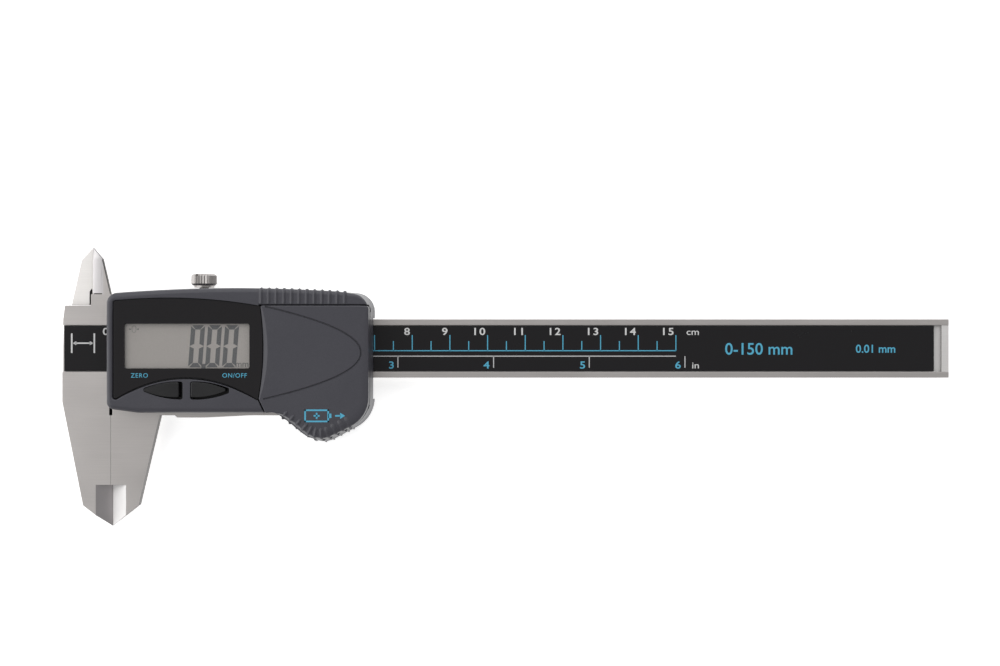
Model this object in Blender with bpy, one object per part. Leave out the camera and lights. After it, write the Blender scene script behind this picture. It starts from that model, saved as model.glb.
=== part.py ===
"""Digital caliper, built as an assembly of separate pieces.

The caliper lies on its back: +X runs along the beam away from the jaws, +Y points to the inside
jaws, and +Z points out of the display. Every size is in millimetres and becomes metres where a mesh
is made. In the layout below, X = 0 is the measuring plane, Y = 0 the middle of the beam and Z = 0 the
surface that the caliper rests on.
"""

import math

import bmesh
import bpy
from mathutils import Matrix, Vector

MM = 0.001
ARC_STEPS = 6
ROUND_SIDES = 20
KNOB_SIDES = 24
WIDE_SIDES = 40
SMOOTH_ANGLE = math.radians(30)
OVERRUN = 1.0
AXIS_ORDER = {"X": (2, 0, 1), "Y": (1, 2, 0), "Z": (0, 1, 2)}

# Clearances
SEAT_GAP = 0.15
PLATE_GAP = 0.3
SLIDE_GAP = 0.1
JAW_GAP = 0.05
HOLE_GAP = 0.2

# Beam, head and fixed jaws
MEASURING_RANGE = 150.0
END_MARGIN = 2.5
HEAD_WIDTH = 12.9
HEAD_TAPER = 0.7
HEAD_WAIST_TAPER = 0.23
HEAD_RISE = 3.65
BEAM_WIDTH = 15.5
BEAM_THICKNESS = 3.6
SCALE_GROOVE_WIDTH = 12.4
SCALE_GROOVE_DEPTH = 1.0
BARE_END = 3.9
BOARD_THICKNESS = 0.45
LABEL_THICKNESS = 0.2
LABEL_MARGIN = 0.5

# Outside jaws, below the beam
JAW_REACH = 39.6
JAW_TIP_HEIGHT = 5.7
JAW_TIP_WIDTH = 7.4
JAW_ROOT_DROP = 6.4
JAW_ROOT_WIDTH = 13.0
KNIFE_LENGTH = 11.1
KNIFE_WIDTH = 4.0
KNIFE_LAND = 0.7
RELIEF_DROP = 7.9
RELIEF_HEIGHT = 2.1
RELIEF_DEPTH = 0.4

# Inside jaws, above the beam
INSIDE_EDGE = 4.9
INSIDE_REACH = 19.2
INSIDE_SHOULDER = 16.0
FIXED_BLADE_WIDTH = 2.75
MOVING_BLADE_WIDTH = 3.2
MOVING_ROOT_WIDTH = 5.9
BLADE_ROOT_RISE = 3.0
BLADE_BEVEL_WIDTH = 2.9
BLADE_HOLLOW = 0.3
BLADE_EDGE = 0.25
BLADE_ARM_RISE = 2.6

# Slide
BACK_PLATE_THICKNESS = 1.6
BACK_PLATE_ROUND = 1.0
UPPER_RAIL_HEIGHT = 4.4
LOWER_RAIL_HEIGHT = 9.9
RAIL_FOOT = 0.6
RAIL_FOOT_START = 4.0
RAIL_FOOT_EASE = 0.6
RAIL_FOOT_LENGTH = 24.0
WEB_THICKNESS = 1.2
WEB_START = 3.6
GIB_THICKNESS = 0.5
GIB_INSET = 3.0
READ_HEAD_LENGTH = 46.0
READ_HEAD_WIDTH = 10.0
READ_HEAD_THICKNESS = 1.0
WIPER_THICKNESS = 1.2
WIPER_HEIGHT = 1.3

# Depth rod
ROD_WIDTH = 3.6
ROD_THICKNESS = 1.5
ROD_TAIL = 15.0
ROD_TIP = 2.0

# Casing
HOUSING_START = 0.75
HOUSING_WALL = 1.5
DISPLAY_LENGTH = 41.7
END_WALL = 1.6
END_ROOM = 2.1
HOUSING_TOP_RISE = 8.25
TOP_CROWN = 1.3
HOUSING_BOTTOM_DROP = 8.85
CASING_ROUND = 2.0
CASING_SHOULDER = 2.6
CROWN_INSET = 3.0
THUMB_DROP = 8.0
THUMB_ROOT_PLACE = 3.6
THUMB_ROOT_DROP = 0.6
THUMB_ROOT_ROUND = 6.0
THUMB_LOW_PLACE = 15.0
THUMB_LOW_ROUND = 3.5
THUMB_HEEL_INSET = 2.7
THUMB_HEEL_DROP = 3.4
THUMB_HEEL_ROUND = 5.0
THUMB_END_RISE = 3.6
THUMB_LEDGE = 0.8
END_NOTCH_DROP = 5.7
FRONT_Z_RISE = 9.9
DECK_DROP = 3.8
DECK_THICKNESS = 2.0
FRONT_WALL = 3.4
SKIRT_DROP = 3.3
RIM_WIDTH = 4.5
BAY_MARGIN = 0.5
GRIP_RIBS = 12
GRIP_RIB_PITCH = 1.98
GRIP_RIB_WIDTH = 0.7
GRIP_RIB_HEIGHT = 0.35
GRIP_RIB_LEAD = 0.6

# Display
WINDOW_MARGIN = 1.9
WINDOW_THICKNESS = 1.7
WINDOW_RECESS = 0.3
WINDOW_TOP_DROP = 2.3
WINDOW_LOW_RISE = 3.1
WINDOW_ARC_RISE = 5.1
WINDOW_TOP_BOW = 1.7
WINDOW_SHOULDER = 1.3
GASKET_THICKNESS = 0.3
GASKET_WIDTH = 1.2
SCREEN_LEFT = 5.9
SCREEN_WIDTH = 32.1
SCREEN_HEIGHT = 11.45
SCREEN_MIDDLE_Y = 0.7
LCD_BORDER = 2.3
LCD_THICKNESS = 1.8
ZEBRA_WIDTH = 1.4

# Electronics
PCB_THICKNESS = 0.8
CHIP_PLACE = 10.7
CHIP_SIZE = 6.0
CHIP_HEIGHT = 0.9
CRYSTAL_SPACING = 2.0
CRYSTAL_LENGTH = 6.0
CRYSTAL_DIAMETER = 1.6

# Keys
KEY_LENGTH = 9.5
KEY_HEIGHT = 4.4
KEY_SPACING = 2.7
KEY_PROUD = 0.2
KEY_FLANGE = 0.5
KEY_FLANGE_THICKNESS = 0.7
KEY_TRAVEL = 0.5
KEY_RISE = 5.7
KEYS_SHIFT = 0.6
KEY_TIP = 0.6
KEY_BOW = 0.5

# Battery
CELL_DIAMETER = 20.0
CELL_THICKNESS = 3.2
CELL_CHAMFER = 0.5
CELL_SIDE_GAP = 0.3
TRAY_WALL = 1.0
TRAY_FLOOR = 0.8
CONTACT_THICKNESS = 0.2
CONTACT_WIDTH = 4.0
CONTACT_INSET = 2.7
CONTACT_TAIL = 2.5
COVER_TOP_WALL = 1.6
COVER_SIDE_WALL = 2.0
GUIDE_WIDTH = 0.8
GUIDE_HEIGHT = 0.7
SEAL_WIDTH = 0.5
SEAL_HEIGHT = 1.0

# Fasteners
LOCK_PLACE = 24.5
LOCK_THREAD = 2.9
LOCK_HEAD_DIAMETER = 6.8
LOCK_HEAD_HEIGHT = 3.1
LOCK_NECK_DIAMETER = 5.4
LOCK_NECK_HEIGHT = 0.55
LOCK_SLOT_WIDTH = 0.9
LOCK_SLOT_DEPTH = 0.6
LOCK_PAD_THICKNESS = 0.45
LOCK_PAD_TRAVEL = 0.3
LOCK_LIFT = 0.3
SCREW_HEAD_DIAMETER = 3.0
SCREW_HEAD_HEIGHT = 0.8
SCREW_SHANK_DIAMETER = 1.5
SCREW_DEPTH = 2.2
DRIVE_SLOT_WIDTH = 0.5
DRIVE_SLOT_DEPTH = 0.4
GIB_SCREW_DIAMETER = 1.9
BACK_SCREW_INSET = 5.0
BACK_SCREW_LEAD_HIGH = 9.5
BACK_SCREW_LEAD_LOW = 5.0
STOP_SCREW_INSET = 2.8
GIB_SCREW_LEAD = 9.8
GIB_SCREW_INSET = 10.0
RIVET_INSET = 4.0
RIVET_SPACING = 6.0
BOSS_DIAMETER = 3.6
BOSS_INSET = 5.6
BOSS_END_INSET = 4.2
BOSS_KEY_DROP = 1.0
BOSS_SCREW_BITE = 3.2

# Places that follow from the driving dimensions
HALF_BEAM = BEAM_WIDTH / 2
CELL_POCKET_RADIUS = CELL_DIAMETER / 2 + CELL_SIDE_GAP
TRAY_RADIUS = CELL_POCKET_RADIUS + TRAY_WALL
BAY_LENGTH = 2 * (TRAY_RADIUS + COVER_SIDE_WALL) + END_WALL
DECK_HOLE_RADIUS = TRAY_RADIUS + SEAL_WIDTH + 2 * SLIDE_GAP
GUIDE_REACH = DECK_HOLE_RADIUS + GUIDE_WIDTH / 2 + 2 * HOLE_GAP
BAY_HEIGHT = 2 * (GUIDE_REACH + GUIDE_WIDTH / 2 + BAY_MARGIN)
HOUSING_END = DISPLAY_LENGTH + BAY_LENGTH
FRAME_END = HOUSING_END - END_WALL - END_ROOM
BEAM_END = MEASURING_RANGE + HOUSING_END + END_MARGIN
LABEL_END = BEAM_END - BARE_END

HEAD_TOP = HALF_BEAM + HEAD_RISE
JAW_TIP = -HALF_BEAM - JAW_REACH
JAW_SHOULDER = JAW_TIP + JAW_TIP_HEIGHT
JAW_ROOT = -HALF_BEAM - JAW_ROOT_DROP
INSIDE_TIP = HALF_BEAM + INSIDE_REACH
INSIDE_SHOULDER_Y = HALF_BEAM + INSIDE_SHOULDER
BLADE_ROOT = HEAD_TOP + BLADE_ROOT_RISE

BACK_TOP = BACK_PLATE_THICKNESS
BEAM_BACK = BACK_TOP + PLATE_GAP
BEAM_FRONT = BEAM_BACK + BEAM_THICKNESS
BEAM_MIDDLE = (BEAM_BACK + BEAM_FRONT) / 2
SCALE_FLOOR = BEAM_FRONT - SCALE_GROOVE_DEPTH
BOARD_BACK = SCALE_FLOOR + SLIDE_GAP
LABEL_BACK = BOARD_BACK + BOARD_THICKNESS + SLIDE_GAP
WEB_BACK = BEAM_FRONT + PLATE_GAP
WEB_FRONT = WEB_BACK + WEB_THICKNESS
ROD_BACK = BACK_TOP + SEAT_GAP
ROD_GROOVE_FLOOR = ROD_BACK + ROD_THICKNESS + PLATE_GAP

GIB_LOW = HALF_BEAM + SEAT_GAP
GIB_HIGH = GIB_LOW + GIB_THICKNESS
UPPER_RAIL_LOW = GIB_HIGH + SLIDE_GAP
UPPER_RAIL_HIGH = UPPER_RAIL_LOW + UPPER_RAIL_HEIGHT
UPPER_RAIL_MIDDLE = (UPPER_RAIL_LOW + UPPER_RAIL_HIGH) / 2
LOWER_RAIL_HIGH = -HALF_BEAM - SLIDE_GAP
LOWER_RAIL_LOW = LOWER_RAIL_HIGH - LOWER_RAIL_HEIGHT

PCB_BACK = WEB_FRONT + SEAT_GAP
PCB_FRONT = PCB_BACK + PCB_THICKNESS
FRONT_Z = BEAM_FRONT + FRONT_Z_RISE
FRONT_INSIDE = FRONT_Z - FRONT_WALL
DECK_TOP = FRONT_Z - DECK_DROP
DECK_BOTTOM = DECK_TOP - DECK_THICKNESS
SKIRT_LOW = BEAM_FRONT - SKIRT_DROP
HOUSING_TOP = HALF_BEAM + HOUSING_TOP_RISE
RIM_LOW = HOUSING_TOP - RIM_WIDTH
HOUSING_BOTTOM = min(-HALF_BEAM - HOUSING_BOTTOM_DROP, RIM_LOW - BAY_HEIGHT)
THUMB_BOTTOM = HOUSING_BOTTOM - THUMB_DROP
HOUSING_INNER_LOW = HOUSING_BOTTOM + HOUSING_WALL
WEB_LOW = HOUSING_INNER_LOW + SEAT_GAP
COVER_BACK = DECK_TOP + HOLE_GAP

WINDOW_FRONT = FRONT_Z - WINDOW_RECESS
WINDOW_BACK = WINDOW_FRONT - WINDOW_THICKNESS
GASKET_BACK = WINDOW_BACK - SLIDE_GAP - GASKET_THICKNESS
WINDOW_LEDGE = GASKET_BACK - SLIDE_GAP
WINDOW_LOW = HOUSING_BOTTOM + WINDOW_LOW_RISE
WINDOW_LEFT = HOUSING_START + WINDOW_MARGIN
WINDOW_RIGHT = DISPLAY_LENGTH - HOLE_GAP
SCREEN_RIGHT = SCREEN_LEFT + SCREEN_WIDTH
SCREEN_LOW = SCREEN_MIDDLE_Y - SCREEN_HEIGHT / 2
SCREEN_HIGH = SCREEN_MIDDLE_Y + SCREEN_HEIGHT / 2
LCD_FRONT = FRONT_INSIDE - PLATE_GAP
LCD_BACK = LCD_FRONT - LCD_THICKNESS

CELL_X = DISPLAY_LENGTH + COVER_SIDE_WALL + TRAY_RADIUS
CELL_Y = (RIM_LOW + HOUSING_BOTTOM) / 2
TRAY_BACK = WEB_FRONT + SEAT_GAP
CONTACT_BACK = TRAY_BACK + TRAY_FLOOR + SLIDE_GAP
CELL_BACK = CONTACT_BACK + CONTACT_THICKNESS + SEAT_GAP
CELL_FRONT = CELL_BACK + CELL_THICKNESS
GUIDE_PLACES = (CELL_Y + GUIDE_REACH, CELL_Y - GUIDE_REACH)

KEY_MIDDLE_Y = HOUSING_BOTTOM + KEY_RISE
KEY_FRONT = FRONT_Z + KEY_PROUD
KEY_BACK = FRONT_INSIDE - PLATE_GAP - KEY_FLANGE_THICKNESS
KEY_X = (KEY_LENGTH + KEY_SPACING) / 2
KEYS_MIDDLE = (WINDOW_LEFT + WINDOW_RIGHT) / 2 - KEYS_SHIFT
KEY_TOP = KEY_MIDDLE_Y + KEY_HEIGHT / 2 + KEY_FLANGE + HOLE_GAP

BOSS_Y_HIGH = UPPER_RAIL_MIDDLE
BOSS_Y_LOW = KEY_MIDDLE_Y - BOSS_KEY_DROP
BOSS_LEFT = HOUSING_START + BOSS_INSET
BOSS_RIGHT = DISPLAY_LENGTH - BOSS_END_INSET
BOSS_PLACES = [
    (BOSS_LEFT, BOSS_Y_HIGH),
    (BOSS_RIGHT, BOSS_Y_HIGH),
    (BOSS_LEFT, BOSS_Y_LOW),
    (BOSS_RIGHT, BOSS_Y_LOW),
]
LCD_LOW = KEY_TOP + PLATE_GAP
LCD_HIGH = BOSS_Y_HIGH - BOSS_DIAMETER / 2 - PLATE_GAP
BACK_SCREW_Y_LOW = (LOWER_RAIL_LOW + LOWER_RAIL_HIGH) / 2
BACK_SCREW_PLACES = [
    (LOCK_PLACE - BACK_SCREW_LEAD_HIGH, UPPER_RAIL_MIDDLE),
    (FRAME_END - BACK_SCREW_INSET, UPPER_RAIL_MIDDLE),
    (LOCK_PLACE - BACK_SCREW_LEAD_LOW, BACK_SCREW_Y_LOW),
    (FRAME_END - BACK_SCREW_INSET, BACK_SCREW_Y_LOW),
]
GIB_SCREW_PLACES = (HOUSING_START + GIB_SCREW_LEAD, FRAME_END - GIB_SCREW_INSET)
ROD_START = FRAME_END - ROD_TAIL
RIVET_PLACES = (ROD_START + RIVET_INSET, ROD_START + RIVET_INSET + RIVET_SPACING)
STOP_PLATE_LENGTH = END_MARGIN + END_WALL
STOP_SCREW_Y = HALF_BEAM - STOP_SCREW_INSET

FINISHES = {
    "steel": ((0.56, 0.55, 0.53), 1.0, 0.32),
    "bright_steel": ((0.72, 0.71, 0.69), 1.0, 0.22),
    "brass": ((0.66, 0.48, 0.20), 1.0, 0.35),
    "casing": ((0.060, 0.060, 0.067), 0.0, 0.45),
    "gloss_black": ((0.012, 0.012, 0.014), 0.0, 0.12),
    "key": ((0.018, 0.018, 0.020), 0.0, 0.35),
    "label": ((0.014, 0.014, 0.016), 0.0, 0.30),
    "circuit_board": ((0.02, 0.13, 0.06), 0.0, 0.45),
    "rubber": ((0.025, 0.025, 0.027), 0.0, 0.80),
    "display": ((0.33, 0.33, 0.30), 0.0, 0.25),
    "chip": ((0.01, 0.01, 0.01), 0.0, 0.55),
    "felt": ((0.10, 0.10, 0.09), 0.0, 0.95),
}


def clear_scene():
    """Remove every object that the scene starts with."""
    for item in list(bpy.data.objects):
        bpy.data.objects.remove(item)


def make_empty(name, parent, place=(0.0, 0.0, 0.0)):
    """Return an empty that carries a group of pieces."""
    empty = bpy.data.objects.new(name, None)
    empty.parent = parent
    empty.location = Vector(place) * MM
    bpy.context.scene.collection.objects.link(empty)
    return empty


def object_from(bm):
    """Return an unnamed object made from a bmesh in millimetres."""
    bmesh.ops.recalc_face_normals(bm, faces=bm.faces)
    bmesh.ops.transform(bm, matrix=Matrix.Scale(MM, 4), verts=bm.verts)
    mesh = bpy.data.meshes.new("shape")
    bm.to_mesh(mesh)
    bm.free()
    shape = bpy.data.objects.new("shape", mesh)
    bpy.context.scene.collection.objects.link(shape)
    return shape


def rounded(corners):
    """Return an outline whose corners (x, y, radius) are turned into arcs."""
    outline = []
    count = len(corners)
    for index, (x, y, radius) in enumerate(corners):
        corner = Vector((x, y))
        if radius <= 0:
            outline.append((x, y))
            continue
        back = (Vector(corners[index - 1][:2]) - corner).normalized()
        ahead = (Vector(corners[(index + 1) % count][:2]) - corner).normalized()
        half = back.angle(ahead) / 2
        centre = corner + (back + ahead).normalized() * (radius / math.sin(half))
        start = corner + back * (radius / math.tan(half)) - centre
        finish = corner + ahead * (radius / math.tan(half)) - centre
        first = math.atan2(start.y, start.x)
        sweep = math.atan2(finish.y, finish.x) - first
        sweep = (sweep + math.pi) % (2 * math.pi) - math.pi
        for step in range(ARC_STEPS + 1):
            angle = first + sweep * step / ARC_STEPS
            outline.append((centre.x + radius * math.cos(angle), centre.y + radius * math.sin(angle)))
    return outline


def bowed(start, end, sagitta, steps=ARC_STEPS * 2):
    """Return points on a parabola from start to end; a positive sagitta bulges to the left of the run."""
    first = Vector(start)
    chord = Vector(end) - first
    side = Vector((-chord.y, chord.x)).normalized()
    points = []
    for step in range(steps + 1):
        share = step / steps
        bulge = 4 * sagitta * share * (1 - share)
        points.append(tuple(first + chord * share + side * bulge))
    return points


def prism(outline, low, high, axis="Z"):
    """Return the outline carried from low to high along an axis.

    The outline's two coordinates are X and Y for axis Z, Y and Z for axis X, and Z and X for axis Y.
    """
    order = AXIS_ORDER[axis]
    bm = bmesh.new()
    rings = []
    for level in (low, high):
        ring = []
        for across, up in outline:
            point = (across, up, level)
            ring.append(bm.verts.new([point[index] for index in order]))
        rings.append(ring)
    bm.faces.new(rings[0])
    bm.faces.new(rings[1])
    count = len(outline)
    for index in range(count):
        after = (index + 1) % count
        bm.faces.new((rings[0][index], rings[0][after], rings[1][after], rings[1][index]))
    return object_from(bm)


def box(lows, highs):
    """Return a box between two opposite corners."""
    outline = [(lows[0], lows[1]), (highs[0], lows[1]), (highs[0], highs[1]), (lows[0], highs[1])]
    return prism(outline, lows[2], highs[2])


def turned(profile, axis="Z", centre=(0.0, 0.0, 0.0), sides=ROUND_SIDES):
    """Return a turned solid from (radius, height) pairs along an axis through a centre."""
    order = AXIS_ORDER[axis]
    bm = bmesh.new()
    rings = []
    for radius, height in profile:
        ring = []
        for side in range(sides):
            angle = 2 * math.pi * side / sides
            point = (radius * math.cos(angle), radius * math.sin(angle), height)
            turned_point = [point[index] for index in order]
            ring.append(bm.verts.new(Vector(turned_point) + Vector(centre)))
        rings.append(ring)
    bm.faces.new(rings[0])
    bm.faces.new(rings[-1])
    for lower, upper in zip(rings, rings[1:]):
        for side in range(sides):
            after = (side + 1) % sides
            bm.faces.new((lower[side], lower[after], upper[after], upper[side]))
    return object_from(bm)


def cylinder(x, y, radius, low, high):
    """Return an upright cylinder."""
    return turned([(radius, low), (radius, high)], centre=(x, y, 0.0))


def combine(body, tools, operation):
    """Apply a boolean of each tool to the body, and remove the tools."""
    for tool in tools:
        boolean = body.modifiers.new("boolean", "BOOLEAN")
        boolean.operation = operation
        boolean.solver = "EXACT"
        boolean.object = tool
        graph = bpy.context.evaluated_depsgraph_get()
        mesh = bpy.data.meshes.new_from_object(body.evaluated_get(graph))
        body.modifiers.clear()
        body.data = mesh
        bpy.data.objects.remove(tool)
    return body


def cut(body, *tools):
    """Take the tools away from the body."""
    return combine(body, tools, "DIFFERENCE")


def join(body, *tools):
    """Add the tools to the body."""
    return combine(body, tools, "UNION")


def place_part(body, name, finish, parent, origin=(0.0, 0.0, 0.0)):
    """Name a finished piece, give it its material and origin, and hang it on its parent."""
    body.name = name
    body.data.name = name
    colour, metallic, roughness = FINISHES[finish]
    material = bpy.data.materials.new(name)
    material.use_nodes = True
    shader = material.node_tree.nodes["Principled BSDF"]
    shader.inputs["Base Color"].default_value = (*colour, 1.0)
    shader.inputs["Metallic"].default_value = metallic
    shader.inputs["Roughness"].default_value = roughness
    body.data.materials.clear()
    body.data.materials.append(material)
    body.data.shade_smooth()
    body.data.set_sharp_from_angle(angle=SMOOTH_ANGLE)
    body.data.transform(Matrix.Translation(Vector(origin) * -MM))
    body.location = Vector(origin) * MM
    body.parent = parent
    return body


def countersunk_hole(x, y, low):
    """Return the cutters of a screw's head recess and its hole, for a head that faces -Z."""
    seat = low + SCREW_HEAD_HEIGHT + HOLE_GAP
    head = cylinder(x, y, SCREW_HEAD_DIAMETER / 2 + HOLE_GAP, low - OVERRUN, seat)
    shank = cylinder(x, y, SCREW_SHANK_DIAMETER / 2 + HOLE_GAP, low, seat + OVERRUN * 2)
    return head, shank


def flat_screw(name, x, y, low, tip, parent):
    """Build a cheese-head screw whose slotted head faces -Z and whose tip points to +Z."""
    head = low + SLIDE_GAP
    shoulder = head + SCREW_HEAD_HEIGHT
    radius = SCREW_HEAD_DIAMETER / 2
    shank = SCREW_SHANK_DIAMETER / 2
    screw = turned([(radius, head), (radius, shoulder), (shank, shoulder), (shank, tip)], centre=(x, y, 0.0))
    slot = box((x - radius * 2, y - DRIVE_SLOT_WIDTH / 2, head - OVERRUN),
               (x + radius * 2, y + DRIVE_SLOT_WIDTH / 2, head + DRIVE_SLOT_DEPTH))
    cut(screw, slot)
    place_part(screw, name, "bright_steel", parent, (x, y, low))


def knife_cutter():
    """Return the wedge that thins the outside jaws towards their measuring faces at the tips."""
    land = BEAM_BACK + KNIFE_LAND
    wedge = [
        (BEAM_FRONT + OVERRUN, -KNIFE_WIDTH),
        (BEAM_FRONT, -KNIFE_WIDTH),
        (land, 0.0),
        (BEAM_FRONT, KNIFE_WIDTH),
        (BEAM_FRONT + OVERRUN, KNIFE_WIDTH),
    ]
    return prism(wedge, JAW_TIP - OVERRUN, JAW_TIP + KNIFE_LENGTH, axis="Y")


def relief_cutter():
    """Return the block that clears the root of both outside measuring faces."""
    top = -HALF_BEAM - RELIEF_DROP
    return box((-RELIEF_DEPTH, top - RELIEF_HEIGHT, BEAM_BACK - OVERRUN),
               (RELIEF_DEPTH, top, BEAM_FRONT + OVERRUN))


def build_beam(root):
    """Build the beam with its head, the fixed outside jaw and the fixed inside jaw."""
    face = -JAW_GAP / 2
    outline = [
        (face, JAW_TIP),
        (face, -HALF_BEAM),
        (BEAM_END, -HALF_BEAM),
        (BEAM_END, HALF_BEAM),
        (face, HALF_BEAM),
        (face, HEAD_TOP),
        (-HEAD_WIDTH + HEAD_TAPER, HEAD_TOP),
        (-HEAD_WIDTH + HEAD_WAIST_TAPER, HALF_BEAM),
        (-HEAD_WIDTH, 0.0),
        (-HEAD_WIDTH, JAW_ROOT),
        (-JAW_TIP_WIDTH, JAW_SHOULDER),
    ]
    beam = prism(outline, BEAM_BACK, BEAM_FRONT)
    middle = BEAM_MIDDLE + JAW_GAP
    root_edge = -INSIDE_EDGE - RELIEF_DEPTH
    blade = prism([
        (root_edge, HEAD_TOP - OVERRUN),
        (face, HEAD_TOP - OVERRUN),
        (face, BLADE_ROOT),
        (-INSIDE_EDGE + FIXED_BLADE_WIDTH, INSIDE_SHOULDER_Y),
        (-INSIDE_EDGE, INSIDE_TIP),
        (-INSIDE_EDGE, BLADE_ROOT),
        (root_edge, BLADE_ROOT),
    ], middle, BEAM_FRONT)
    ground = bowed((BEAM_FRONT, -INSIDE_EDGE + BLADE_BEVEL_WIDTH), (middle + BLADE_EDGE, -INSIDE_EDGE),
                   BLADE_HOLLOW)
    bevel = prism([
        (middle + BLADE_EDGE, -INSIDE_EDGE - OVERRUN),
        (BEAM_FRONT + OVERRUN, -INSIDE_EDGE - OVERRUN),
        (BEAM_FRONT + OVERRUN, -INSIDE_EDGE + BLADE_BEVEL_WIDTH),
        *ground,
    ], BLADE_ROOT, INSIDE_TIP + OVERRUN, axis="Y")
    cut(blade, bevel)
    join(beam, blade)
    scale_groove = box((-HEAD_WIDTH - OVERRUN, -SCALE_GROOVE_WIDTH / 2, SCALE_FLOOR),
                       (BEAM_END + OVERRUN, SCALE_GROOVE_WIDTH / 2, BEAM_FRONT + OVERRUN))
    half_rod = ROD_WIDTH / 2 + PLATE_GAP
    rod_groove = box((HEAD_WIDTH, -half_rod, BEAM_BACK - OVERRUN),
                     (BEAM_END + OVERRUN, half_rod, ROD_GROOVE_FLOOR))
    cut(beam, scale_groove, rod_groove, knife_cutter(), relief_cutter())
    hole = SCREW_SHANK_DIAMETER / 2 + SEAT_GAP
    for side in (-1, 1):
        x = BEAM_END - STOP_PLATE_LENGTH / 2
        cut(beam, cylinder(x, side * STOP_SCREW_Y, hole, BEAM_BACK - OVERRUN, BEAM_BACK + SCREW_DEPTH))
    place_part(beam, "beam", "steel", root)


def build_scale(root):
    """Build the scale board and the printed label in the beam's front groove."""
    half = SCALE_GROOVE_WIDTH / 2 - SEAT_GAP
    start = -HEAD_WIDTH + LABEL_MARGIN
    board = box((start, -half, BOARD_BACK), (LABEL_END, half, BOARD_BACK + BOARD_THICKNESS))
    place_part(board, "scale_board", "circuit_board", root)
    label = box((start, -half, LABEL_BACK), (LABEL_END, half, LABEL_BACK + LABEL_THICKNESS))
    place_part(label, "scale_label", "label", root)


def build_end_stop(root):
    """Build the plate behind the beam's free end that stops the slide, with its two screws."""
    low_x = BEAM_END - STOP_PLATE_LENGTH
    half = HALF_BEAM - SEAT_GAP
    plate = box((low_x, -half, 0.0), (BEAM_END - SEAT_GAP, half, BACK_TOP))
    x = BEAM_END - STOP_PLATE_LENGTH / 2
    for side in (-1, 1):
        cut(plate, *countersunk_hole(x, side * STOP_SCREW_Y, 0.0))
    place_part(plate, "end_stop_plate", "steel", root)
    for number, side in enumerate((-1, 1), start=1):
        tip = BEAM_BACK + SCREW_DEPTH - SEAT_GAP
        flat_screw(f"end_stop_screw_{number}", x, side * STOP_SCREW_Y, 0.0, tip, root)


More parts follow.
